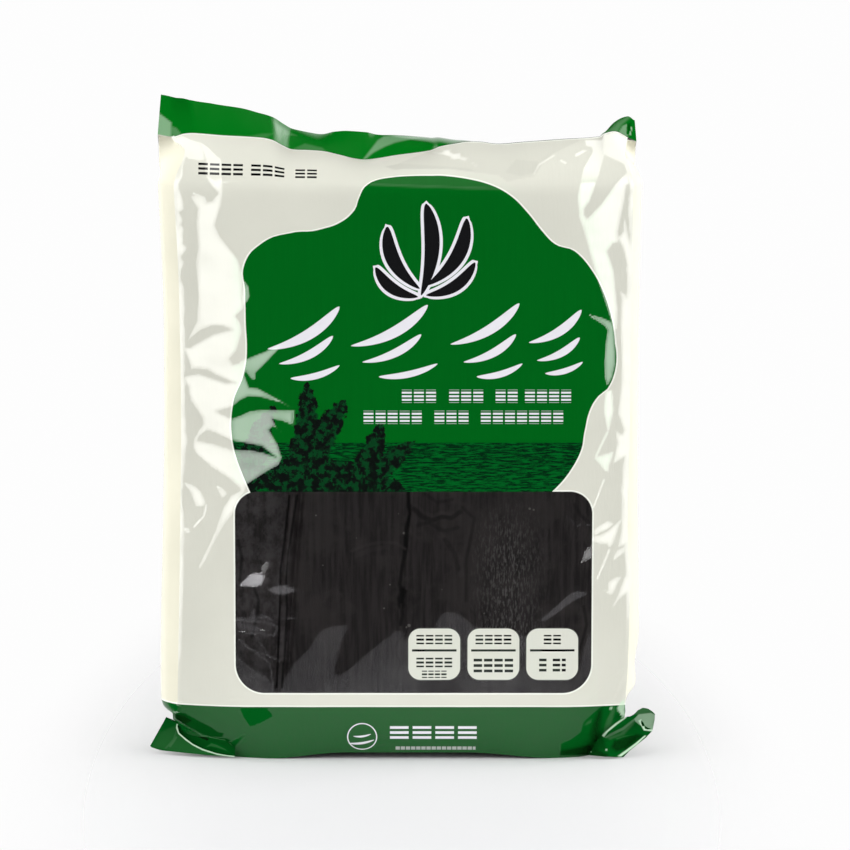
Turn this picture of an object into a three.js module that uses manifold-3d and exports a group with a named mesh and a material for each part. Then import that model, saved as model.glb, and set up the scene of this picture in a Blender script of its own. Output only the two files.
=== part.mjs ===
// A sealed film pack of dried kelp sheets, standing on its folded-under bottom seal.
//
// The pack is one tube of printed film with a side gusset on the left and on the right, sealed flat across
// the top and the bottom. Round a stiff stack of kelp the tube becomes a block with a flat face, bulging
// sides, sloping shoulders and a top fin that stands up at the left, sinks in the middle, lies back over the
// right half and ends in an upright ear. At the foot the gussets tuck in under both corners, and the ends of
// the bottom seal stick out as two ears. A clear window in the face shows three folded kelp sheets.
//
// Millimetres. +Z is up, the printed face looks along -Y, and the origin is the middle of the base.

import * as THREE from "three";
import { mergeVertices } from "three/addons/utils/BufferGeometryUtils.js";
import Module from "manifold-3d";

const wasm = await Module();
wasm.setup();

// Driving dimensions.
const HALF_DEPTH = 28; // of the block, from its middle to the face or the back
const FACE_TOP = 354; // height at which the face ends and the shoulder slopes back
const FOOT_TOP = 34; // height under which the face draws in towards the base
const BASE_HALF_DEPTH = 21;
const FIN_HEIGHT = 25; // of the sealed strip across the top
const FIN_THICKNESS = 1.6;
const SHOULDER_SWELL = 2.2; // how far the shoulder bulges out of a straight slope

// How far out from the pack's middle each side comes: the face's edge, the same edge where it is dented on the
// shoulder, the fin's end, the base, the gusset's middle fold above the foot and under the shoulder, and that
// fold where it tucks in at the base and under the fin.
const LEFT = { face: 137, dent: 134, fin: 150.5, base: 107.5, side: [150.5, 151.5], foot: 125.5, tuck: 127.5 };
const RIGHT = { face: 139.5, dent: 136.5, fin: 145.5, base: 110.5, side: [143.5, 149], foot: 124.5, tuck: 124.5 };

// The face and the back are flat over the kelp and fall away to their side edges: from which share of the way
// to the edge, and how far.
const FALL_FROM = { left: 0.68, right: 0.72 };
const FALL = { left: 7.5, right: 5.5 };

// The clear window in the face, and the pocket behind it that holds the kelp.
const WINDOW = { left: -103, right: 118.5, bottom: 41, top: 165, cornerTop: 14, cornerBottom: 18 };
const POCKET_FLOOR = -12; // depth coordinate of the pocket's floor
const GAP = 0.3; // between one kelp sheet and its neighbour, the pocket's floor or its wall

// The kelp sheets: the folded stack behind, and the three sheets that lie on it, split at these edges.
const STACK_FRONT = -20;
const SHEET_EDGES = [-71.5, 3.5];
const SHEET_FRONT = -24; // mean depth coordinate of the sheets' faces
const PLEAT_DEPTH = 0.9; // of the folds that run up the sheets
const PLEAT_STEP = 4;

// Mesh fineness: steps across the face and the back, round each gusset, up the block, and up the fin.
const STEPS = { across: 30, side: 8, foot: 7, block: 9, shoulder: 6, fin: 3 };

const mix = (a, b, t) => a + (b - a) * t;
const radians = (degrees) => (degrees * Math.PI) / 180;
const ease = (t) => t * t * (3 - 2 * t);

// From a to b by the share where, and from there on to c.
const turning = (a, b, c, where, t) =>
  t < where ? mix(a, b, ease(t / where)) : mix(b, c, ease((t - where) / (1 - where)));

// A smooth curve through a few [x, value] knots, level beyond its ends.
function through(knots) {
  const slope = (i) => {
    const a = knots[Math.max(i - 1, 0)];
    const b = knots[Math.min(i + 1, knots.length - 1)];
    return (b[1] - a[1]) / (b[0] - a[0]);
  };
  return (x) => {
    if (x <= knots[0][0]) return knots[0][1];
    if (x >= knots.at(-1)[0]) return knots.at(-1)[1];
    const i = knots.findIndex((k) => k[0] > x) - 1;
    const [[x0, y0], [x1, y1]] = [knots[i], knots[i + 1]];
    const w = x1 - x0;
    const t = (x - x0) / w;
    return (
      y0 * (1 + 2 * t) * (1 - t) ** 2 +
      slope(i) * w * t * (1 - t) ** 2 +
      y1 * t * t * (3 - 2 * t) +
      slope(i + 1) * w * t * t * (t - 1)
    );
  };
}

// The top seal from left to right: the height of its foot, its set-back, and how far it leans backwards.
const sealHeight = through([
  [-150.5, 384], [-120, 384.5], [-86, 381], [-68, 374.5], [-48, 372], [-22, 368.5],
  [4, 372], [36, 379], [76, 378.5], [112, 381], [145.5, 384],
]);
const sealSetBack = through([[-150.5, -2], [-62, 0], [18, 2.5], [108, 2.5], [145.5, -1]]);
const sealLean = through([
  [-150.5, -3], [-102, 6], [-84, 26], [-70, 56], [-50, 68], [-23, 54], [4, 68],
  [26, 90], [42, 108], [98, 112], [120, 84], [132, 30], [145.5, 16],
]);

// A side's outline in the ring at one height of the block: the face's edge, the gusset's middle fold and the
// edge of the back, each as how far out from the middle of the pack it lies.
const sideAt = (side, height) => {
  const up = Math.min(height / FOOT_TOP, 1);
  const bulge = mix(...side.side, Math.max(height - FOOT_TOP, 0) / (FACE_TOP - FOOT_TOP));
  return {
    front: mix(side.base, side.face, ease(Math.min(up * 1.15, 1))),
    fold: mix(side.foot, bulge, Math.sqrt(up)),
    back: mix(side.base + 6, side.face, ease(Math.min(up * 1.3, 1))),
  };
};

// The same three over the shoulder, where way goes from 0 at the top of the block to 1 at the seal: the face's
// edge goes in to its dent and out to the fin's end, and the gusset tucks in and closes again.
const shoulderSide = (side, way) => ({
  front: turning(side.face, side.dent, side.fin, 0.6, way),
  fold: turning(side.side[1], side.tuck, side.fin, 0.85, way),
  back: mix(side.face, side.fin, ease(Math.min(way * 2.5, 1))),
});

// How far the face falls away, by the share of the way from the middle to the left (-1) or right (1) edge.
function crown(share) {
  const side = share < 0 ? "left" : "right";
  const way = (Math.abs(share) - FALL_FROM[side]) / (1 - FALL_FROM[side]);
  return FALL[side] * Math.max(way, 0) ** 1.6;
}

// One closed ring of the pack. left and right give each side's outline, and face(x, share) and back(x, share)
// give a point of the face's and the back's sheet. The gusset between them is an arc through its middle fold.
function ring(left, right, face, back) {
  const points = [];
  const sheet = (edge, make, from, to) => {
    for (let i = 0; i <= STEPS.across; i++) {
      const share = mix(from, to, i / STEPS.across);
      const x = share < 0 ? share * left[edge] : share * right[edge];
      points.push(make(x, share));
    }
  };
  const gusset = (side, sign, from, to) => {
    const ends = [from === "front" ? face : back, to === "front" ? face : back].map((make, i) =>
      make(sign * side[i ? to : from], sign),
    );
    for (let j = 1; j < STEPS.side; j++) {
      const t = j / STEPS.side;
      const point = ends[0].clone().lerp(ends[1], t);
      const straight = mix(side[from], side[to], t);
      const middle = (side[from] + side[to]) / 2;
      point.x = sign * (straight + (side.fold - middle) * (1 - (2 * t - 1) ** 2));
      points.push(point);
    }
  };
  sheet("front", face, -1, 1);
  gusset(right, 1, "front", "back");
  sheet("back", back, 1, -1);
  gusset(left, -1, "back", "front");
  return points;
}

// The block from its base to the top of the face.
function blockRing(height) {
  const up = Math.min(height / FOOT_TOP, 1);
  const half = mix(BASE_HALF_DEPTH, HALF_DEPTH, 1 - (1 - up) ** 1.8);
  const sheet = (sign) => (x, share) => new THREE.Vector3(x, sign * (half - crown(share)), height);
  return ring(sideAt(LEFT, height), sideAt(RIGHT, height), sheet(-1), sheet(1));
}

// The shoulder, from the top of the face (way 0) to the foot of the fin (way 1).
function shoulderRing(way) {
  const sheet = (sign) => (x, share) => {
    const swell = SHOULDER_SWELL * Math.sin(Math.PI * way);
    const y = mix(sign * (HALF_DEPTH - crown(share)), sealSetBack(x) + (sign * FIN_THICKNESS) / 2, way);
    return new THREE.Vector3(x, y + sign * swell, mix(FACE_TOP, sealHeight(x), way) + swell);
  };
  return ring(shoulderSide(LEFT, way), shoulderSide(RIGHT, way), sheet(-1), sheet(1));
}

// The fin, from just above its foot to its cut edge (way 1).
function finRing(way) {
  const end = { front: LEFT.fin, fold: LEFT.fin, back: LEFT.fin };
  const otherEnd = { front: RIGHT.fin, fold: RIGHT.fin, back: RIGHT.fin };
  const sheet = (sign) => (x) => {
    const lean = radians(sealLean(x));
    const rise = way * FIN_HEIGHT;
    const out = (sign * FIN_THICKNESS) / 2;
    return new THREE.Vector3(
      x,
      sealSetBack(x) + rise * Math.sin(lean) + out * Math.cos(lean),
      sealHeight(x) + rise * Math.cos(lean) - out * Math.sin(lean),
    );
  };
  return ring(end, otherEnd, sheet(-1), sheet(1));
}

// Skins a stack of rings and closes both ends with a strip from the face's sheet to the back's.
function skin(rings) {
  const around = rings[0].length;
  const positions = rings.flat().flatMap((p) => [p.x, p.y, p.z]);
  const faces = [];
  const quad = (a, b, c, d) => faces.push(a, b, c, a, c, d);
  for (let k = 0; k + 1 < rings.length; k++)
    for (let i = 0; i < around; i++) {
      const next = (i + 1) % around;
      quad(k * around + i, k * around + next, (k + 1) * around + next, (k + 1) * around + i);
    }
  const cap = (first, upwards) => {
    const front = (i) => first + i;
    const back = (i) => first + 2 * STEPS.across + STEPS.side - i;
    const fan = (points) => {
      for (let i = 1; i + 1 < points.length; i++) faces.push(...turn([points[0], points[i], points[i + 1]]));
    };
    const turn = (triangle) => (upwards ? triangle : triangle.reverse());
    for (let i = 0; i < STEPS.across; i++) fan([front(i), front(i + 1), back(i + 1), back(i)]);
    const sides = (from) => Array.from({ length: STEPS.side + 1 }, (_, j) => first + ((from + j) % around));
    fan(sides(STEPS.across));
    fan(sides(2 * STEPS.across + STEPS.side));
  };
  cap(0, false);
  cap((rings.length - 1) * around, true);
  const geometry = new THREE.BufferGeometry();
  geometry.setAttribute("position", new THREE.Float32BufferAttribute(positions, 3));
  geometry.setIndex(faces);
  return geometry;
}

// An even run of count shares, without 0 and up to 1.
const shares = (count) => Array.from({ length: count }, (_, i) => (i + 1) / count);

function packRings() {
  return [
    blockRing(0),
    ...shares(STEPS.foot).map((t) => blockRing(FOOT_TOP * t ** 1.6)),
    ...shares(STEPS.block).map((t) => blockRing(mix(FOOT_TOP, FACE_TOP, t))),
    ...shares(STEPS.shoulder).map(shoulderRing),
    ...shares(STEPS.fin).map(finRing),
  ];
}

// The ears, where the ends of the bottom seal stick out past the tucked gussets. Each is a flap of even
// thickness between an upper and a lower curve, both from left to right.
const EAR_THICKNESS = 1.6;
const EAR_STEPS = 10;
const EARS = {
  left: {
    upper: [[-146.5, -2, 25], [-129, -12, 8], [-101, -17, 3]],
    lower: [[-156.5, 6, 2.5], [-131, -4, 0.4], [-101, -16, 0.8]],
  },
  right: {
    upper: [[122, -10, 20], [142, -6, 31], [155.5, -3, 30]],
    lower: [[116, -15, 0.8], [142, -10, 0.8], [156.5, -3, 19]],
  },
};

function flap({ upper, lower }) {
  const curve = (points) => new THREE.QuadraticBezierCurve3(...points.map((p) => new THREE.Vector3(...p)));
  const [top, bottom] = [curve(upper), curve(lower)];
  const out = new THREE.Vector3(0, EAR_THICKNESS / 2, 0);
  const loops = Array.from({ length: EAR_STEPS + 1 }, (_, i) => {
    const [a, b] = [top.getPoint(i / EAR_STEPS), bottom.getPoint(i / EAR_STEPS)];
    return [a.clone().sub(out), b.clone().sub(out), b.clone().add(out), a.clone().add(out)];
  });
  const faces = [];
  for (let k = 0; k < EAR_STEPS; k++)
    for (let i = 0; i < 4; i++) {
      const [a, b] = [k * 4 + i, k * 4 + ((i + 1) % 4)];
      faces.push(a, b, b + 4, a, b + 4, a + 4);
    }
  faces.push(0, 2, 1, 0, 3, 2);
  const last = EAR_STEPS * 4;
  faces.push(last, last + 1, last + 2, last, last + 2, last + 3);
  const geometry = new THREE.BufferGeometry();
  geometry.setAttribute(
    "position",
    new THREE.Float32BufferAttribute(loops.flat().flatMap((p) => [p.x, p.y, p.z]), 3),
  );
  geometry.setIndex(faces);
  return geometry;
}

// The window's outline, drawn in by inset, as a shape in the X-Z plane.
function windowShape(inset) {
  const [l, r, b, t] = [WINDOW.left + inset, WINDOW.right - inset, WINDOW.bottom + inset, WINDOW.top - inset];
  const [high, low] = [WINDOW.cornerTop - inset, WINDOW.cornerBottom - inset];
  const shape = new THREE.Shape();
  shape.moveTo(l + low, b);
  shape.lineTo(r - low, b);
  shape.absarc(r - low, b + low, low, -Math.PI / 2, 0);
  shape.lineTo(r, t - high);
  shape.absarc(r - high, t - high, high, 0, Math.PI / 2);
  shape.lineTo(l + high, t);
  shape.absarc(l + high, t - high, high, Math.PI / 2, Math.PI);
  shape.lineTo(l, b + low);
  shape.absarc(l + low, b + low, low, Math.PI, 1.5 * Math.PI);
  return shape;
}

// A prism of the window's outline between two depth coordinates.
function windowPrism(inset, front, back) {
  const geometry = new THREE.ExtrudeGeometry(windowShape(inset), {
    depth: back - front,
    bevelEnabled: false,
    curveSegments: 6,
  });
  geometry.rotateX(Math.PI / 2);
  geometry.translate(0, back, 0);
  return geometry;
}

// The face of a kelp sheet: long pleats running up it, uneven from side to side.
const pleats = (x, z) =>
  PLEAT_DEPTH * (0.5 * Math.sin(x / 4.1 + 0.8 * Math.sin(z / 31)) + 0.5 * Math.sin(x / 9.7 + z / 90 + 1));

// A slab between two side edges, with a pleated face, as tall as the window.
function sheetSlab(left, right) {
  const [columns, rows] = [Math.ceil((right - left) / PLEAT_STEP), 6];
  const slab = new THREE.BoxGeometry(right - left, 1, WINDOW.top - WINDOW.bottom, columns, 1, rows);
  slab.translate((left + right) / 2, 0, (WINDOW.top + WINDOW.bottom) / 2);
  const at = slab.attributes.position;
  for (let i = 0; i < at.count; i++) {
    const front = at.getY(i) < 0;
    at.setY(i, front ? SHEET_FRONT + pleats(at.getX(i), at.getZ(i)) : STACK_FRONT - GAP);
  }
  return slab;
}

function solid(geometry) {
  const bare = geometry.clone();
  for (const name of Object.keys(bare.attributes)) if (name !== "position") bare.deleteAttribute(name);
  const merged = mergeVertices(bare, 1e-4);
  return new wasm.Manifold(
    new wasm.Mesh({
      numProp: 3,
      vertProperties: new Float32Array(merged.attributes.position.array),
      triVerts: new Uint32Array(merged.index.array),
    }),
  );
}

function geometryOf(manifold) {
  const mesh = manifold.getMesh();
  const geometry = new THREE.BufferGeometry();
  geometry.setAttribute("position", new THREE.BufferAttribute(Float32Array.from(mesh.vertProperties), 3));
  geometry.setIndex(new THREE.BufferAttribute(Uint32Array.from(mesh.triVerts), 1));
  geometry.computeVertexNormals();
  return geometry;
}

const FILM = new THREE.MeshStandardMaterial({ color: 0xe4e5db, roughness: 0.25, metalness: 0 });
const KELP = new THREE.MeshStandardMaterial({ color: 0x2a2827, roughness: 0.7, metalness: 0 });

function part(name, manifold, material) {
  const mesh = new THREE.Mesh(geometryOf(manifold), material);
  mesh.name = name;
  return mesh;
}

// The film pack, out to its film, with the pocket behind the window.
const bag = solid(skin(packRings()))
  .add(solid(flap(EARS.left)))
  .add(solid(flap(EARS.right)))
  .subtract(solid(windowPrism(0, -2 * HALF_DEPTH, POCKET_FLOOR)));

// The kelp: the stack that fills the pocket, and the three sheets side by side on its front.
const stack = solid(windowPrism(GAP, STACK_FRONT, POCKET_FLOOR - GAP));
const inWindow = solid(windowPrism(GAP, -2 * HALF_DEPTH, POCKET_FLOOR));
const edges = [WINDOW.left, ...SHEET_EDGES, WINDOW.right];
const sheets = ["left", "middle", "right"].map((place, i) => {
  const slab = solid(sheetSlab(edges[i] + (i ? GAP : 0), edges[i + 1]));
  return part("kelp_sheet_" + place, slab.intersect(inWindow), KELP);
});

const pack = new THREE.Group();
pack.add(part("film_pack", bag, FILM), part("kelp_stack", stack, KELP), ...sheets);

export default pack;
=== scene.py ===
import math

import bpy
import numpy as np
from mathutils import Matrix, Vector


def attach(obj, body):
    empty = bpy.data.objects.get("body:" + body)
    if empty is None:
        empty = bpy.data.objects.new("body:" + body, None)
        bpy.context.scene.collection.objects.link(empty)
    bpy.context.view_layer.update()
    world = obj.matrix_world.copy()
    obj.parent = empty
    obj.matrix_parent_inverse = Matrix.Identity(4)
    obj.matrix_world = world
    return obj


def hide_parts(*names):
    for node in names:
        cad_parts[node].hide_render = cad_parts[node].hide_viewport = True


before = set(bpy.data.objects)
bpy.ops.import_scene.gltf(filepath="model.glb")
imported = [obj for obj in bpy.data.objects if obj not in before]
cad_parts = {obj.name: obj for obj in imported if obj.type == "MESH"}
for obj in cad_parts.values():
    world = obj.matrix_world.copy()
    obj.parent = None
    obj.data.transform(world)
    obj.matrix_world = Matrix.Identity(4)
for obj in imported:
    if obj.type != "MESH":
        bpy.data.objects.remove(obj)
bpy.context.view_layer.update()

# ---------------------------------------------------------------------------------------------
# The body of the pack. One tube of printed plastic film with a gusset on each side, filled with kelp, sealed
# across the top and folded under at the foot. Face and back are grids of points, in millimetres, in rows from
# the foot over the shoulder to the top seal.

HALF_DEPTH = 28
FACE_TOP = 356
FOOT_TOP = 34
BASE_HALF_DEPTH = 21
FIN_HEIGHT = 25
FILM = 0.5
SHOULDER_SWELL = 2.2
FOOT_LIFT = 4


def mix(a, b, t):
    return a + (b - a) * t


def ease(t):
    t = np.clip(t, 0, 1)
    return t * t * (3 - 2 * t)


def turning(a, b, c, where, t):
    """From a to b until t reaches where, and on to c."""
    return mix(a, b, ease(t / where)) if t < where else mix(b, c, ease((t - where) / (1 - where)))


def through(knots):
    """A smooth curve through a few (x, value) knots, level beyond its ends."""
    xs, ys = np.array(knots, float).T
    ends = np.arange(len(xs))
    before, after = np.maximum(ends - 1, 0), np.minimum(ends + 1, len(xs) - 1)
    slopes = (ys[after] - ys[before]) / (xs[after] - xs[before])

    def value(x):
        x = np.clip(x, xs[0], xs[-1])
        i = np.clip(np.searchsorted(xs, x, side="right") - 1, 0, len(xs) - 2)
        w = xs[i + 1] - xs[i]
        t = (x - xs[i]) / w
        return (ys[i] * (1 + 2 * t) * (1 - t) ** 2 + slopes[i] * w * t * (1 - t) ** 2
                + ys[i + 1] * t * t * (3 - 2 * t) + slopes[i + 1] * w * t * t * (t - 1))

    return value


# How far out each side's lines run: the face's edge and the gusset's middle fold by height, and the face's
# edge over the shoulder, at the seal, at the fin and at the foot. The fold is tucked in under the seal.
LEFT = dict(face=through([(34, 139.5), (120, 137.5), (200, 136.5), (290, 137), (356, 139.5)]), dent=133,
            seal=141.5, fin=150, base=107.5, tuck=140,
            side=through([(0, 125.5), (6, 137.5), (13, 142.5), (21, 143.7), (24, 143.9), (26.7, 145.3),
                          (28.5, 148), (31, 150), (37, 151), (85, 150.6), (150, 148.8), (222, 147.8),
                          (285, 147.7), (330, 149.2), (356, 150.2)]))
RIGHT = dict(face=through([(34, 139), (60, 140.5), (110, 141.5), (140, 140), (200, 140.5), (290, 141.5),
                           (356, 142)]), dent=137, seal=139, fin=144.5, base=110.5, tuck=138,
             side=through([(0, 124.5), (10, 134), (18, 139), (26, 140.3), (33, 140), (38, 142), (44, 146.5),
                           (58, 146.2), (75, 148.5), (90, 148.5), (200, 146.8), (285, 147), (356, 148.5)]))

# The face falls away towards its edges, from these shares of its half width and by these depths.
FALL_FROM = (0.68, 0.72)
FALL = (7.5, 5.5)

seal_height = through([
    (-150, 387.1), (-140.5, 385.8), (-134, 387.5), (-128, 387.9), (-111.5, 386.6), (-87, 385.1),
    (-79.5, 383.6), (-73.5, 380.4), (-68, 378), (-57, 377.4), (-47.5, 376.6), (-38, 374.4), (-30, 372.4),
    (-23, 371.5), (-13.5, 372.5), (-4, 374.1), (17.5, 377.1), (23.5, 379.5), (33, 381.3), (39, 382.3),
    (48.5, 382.3), (59, 381), (73, 382), (97.5, 383.8), (122, 385.6), (124.5, 387.4), (132, 388.8),
    (140, 384.8), (144.5, 382.9)])
seal_set_back = through([(-150, -2), (-62, 0), (18, 2.5), (108, 2.5), (144.5, -1)])
# How far the fin leans back along the seal, and how much more its top leans than its foot, in degrees.
seal_lean = through([
    (-150, 14), (-143, 15), (-131, 37.5), (-117, 43), (-99.5, 48.5), (-87, 56), (-66, 63), (-57, 67),
    (-49, 68), (-41.5, 60), (-32, 52), (-22.5, 50), (-15, 57), (-4, 62.5), (5.5, 67), (17.5, 74), (30, 86),
    (39, 94), (60, 108), (98, 110), (117, 100), (125, 95), (132, 80), (139.5, 61), (144.5, 55)])
seal_curl = through([
    (-150, 4), (-60, 16), (-40, 6), (-22, 6), (0, 30), (25, 30), (45, 20), (98, 20), (144.5, 10)])


def block_side(side, height):
    """How far out the face's edge, the gusset's fold and the back's edge are at a height."""
    up = min(height / FOOT_TOP, 1)
    face_x = side["face"](max(height, FOOT_TOP))
    return (mix(side["base"], face_x, ease(up * 1.15)), side["side"](height),
            mix(side["base"] + 6, face_x, ease(up * 1.3)))


def shoulder_side(side, way):
    """The same three over the shoulder, by the share of the way from the face to the seal."""
    face_x = side["face"](FACE_TOP)
    return (turning(face_x, side["dent"], side["seal"], 0.6, way),
            turning(side["side"](FACE_TOP), side["tuck"], side["tuck"], 0.7, way),
            mix(face_x, side["fin"], ease(way * 3.2)))


def crown(share):
    """How far the face falls away, by the share of the way from the middle to an edge."""
    start = np.where(share < 0, FALL_FROM[0], FALL_FROM[1])
    fall = np.where(share < 0, FALL[0], FALL[1])
    return fall * np.maximum((np.abs(share) - start) / (1 - start), 0) ** 1.6


# Rows up the pack: (kind, place on that kind). Columns are closer where the film is creased.
FOOT_ROWS, FACE_ROWS, SHOULDER_ROWS = 31, 306, 38
ROWS = ([("block", FOOT_TOP * t ** 1.3) for t in np.linspace(0, 1, FOOT_ROWS)]
        + [("block", z) for z in np.linspace(FOOT_TOP, FACE_TOP, FACE_ROWS)[1:]]
        + [("shoulder", t) for t in np.linspace(0, 1, SHOULDER_ROWS)[1:]])
SHARES = np.concatenate([np.linspace(-1, -0.5, 82), np.linspace(-0.5, 0.5, 88)[1:-1],
                         np.linspace(0.5, 1, 82)])


def face_row(kind, place, sign):
    """One row of the face (sign -1) or the back (sign 1), without its creases."""
    if kind == "block":
        left, right = block_side(LEFT, place), block_side(RIGHT, place)
    else:
        left, right = shoulder_side(LEFT, place), shoulder_side(RIGHT, place)
    edge = 0 if sign < 0 else 2
    x = np.where(SHARES < 0, SHARES * left[edge], SHARES * right[edge])
    if kind == "block":
        up = min(place / FOOT_TOP, 1)
        half = mix(BASE_HALF_DEPTH, HALF_DEPTH, 1 - (1 - up) ** 1.8)
        lift = FOOT_LIFT * (1 - up) ** 3 * ease((x + 85) / 50) * ease((100 - x) / 60)
        return np.stack([x, sign * (half - crown(SHARES)), place + lift], 1)
    swell = SHOULDER_SWELL * math.sin(math.pi * place)
    y = mix(sign * (HALF_DEPTH - crown(SHARES)), seal_set_back(x) + sign * FILM / 2, place)
    return np.stack([x, y + sign * swell, mix(FACE_TOP, seal_height(x), place) + swell], 1)


face = np.array([face_row(kind, place, -1) for kind, place in ROWS])
back = np.array([face_row(kind, place, 1) for kind, place in ROWS])

# The height of each row in the flat film, measured up the middle of the face, carries the print.
middle = face[:, len(SHARES) // 2]
flat_height = np.concatenate([[0], np.cumsum(np.linalg.norm(np.diff(middle, axis=0), axis=1))])
flat_height += FOOT_TOP - flat_height[FOOT_ROWS - 1]

# ---------------------------------------------------------------------------------------------
# The creases. The film is thin and stiff, so it is dented and folded where it is slack: down both edges, over
# the window and at the foot's corners. Each facet is an outline in millimetres across and up the face, seen
# from the front, and leans sideways, away from the middle.

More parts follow.
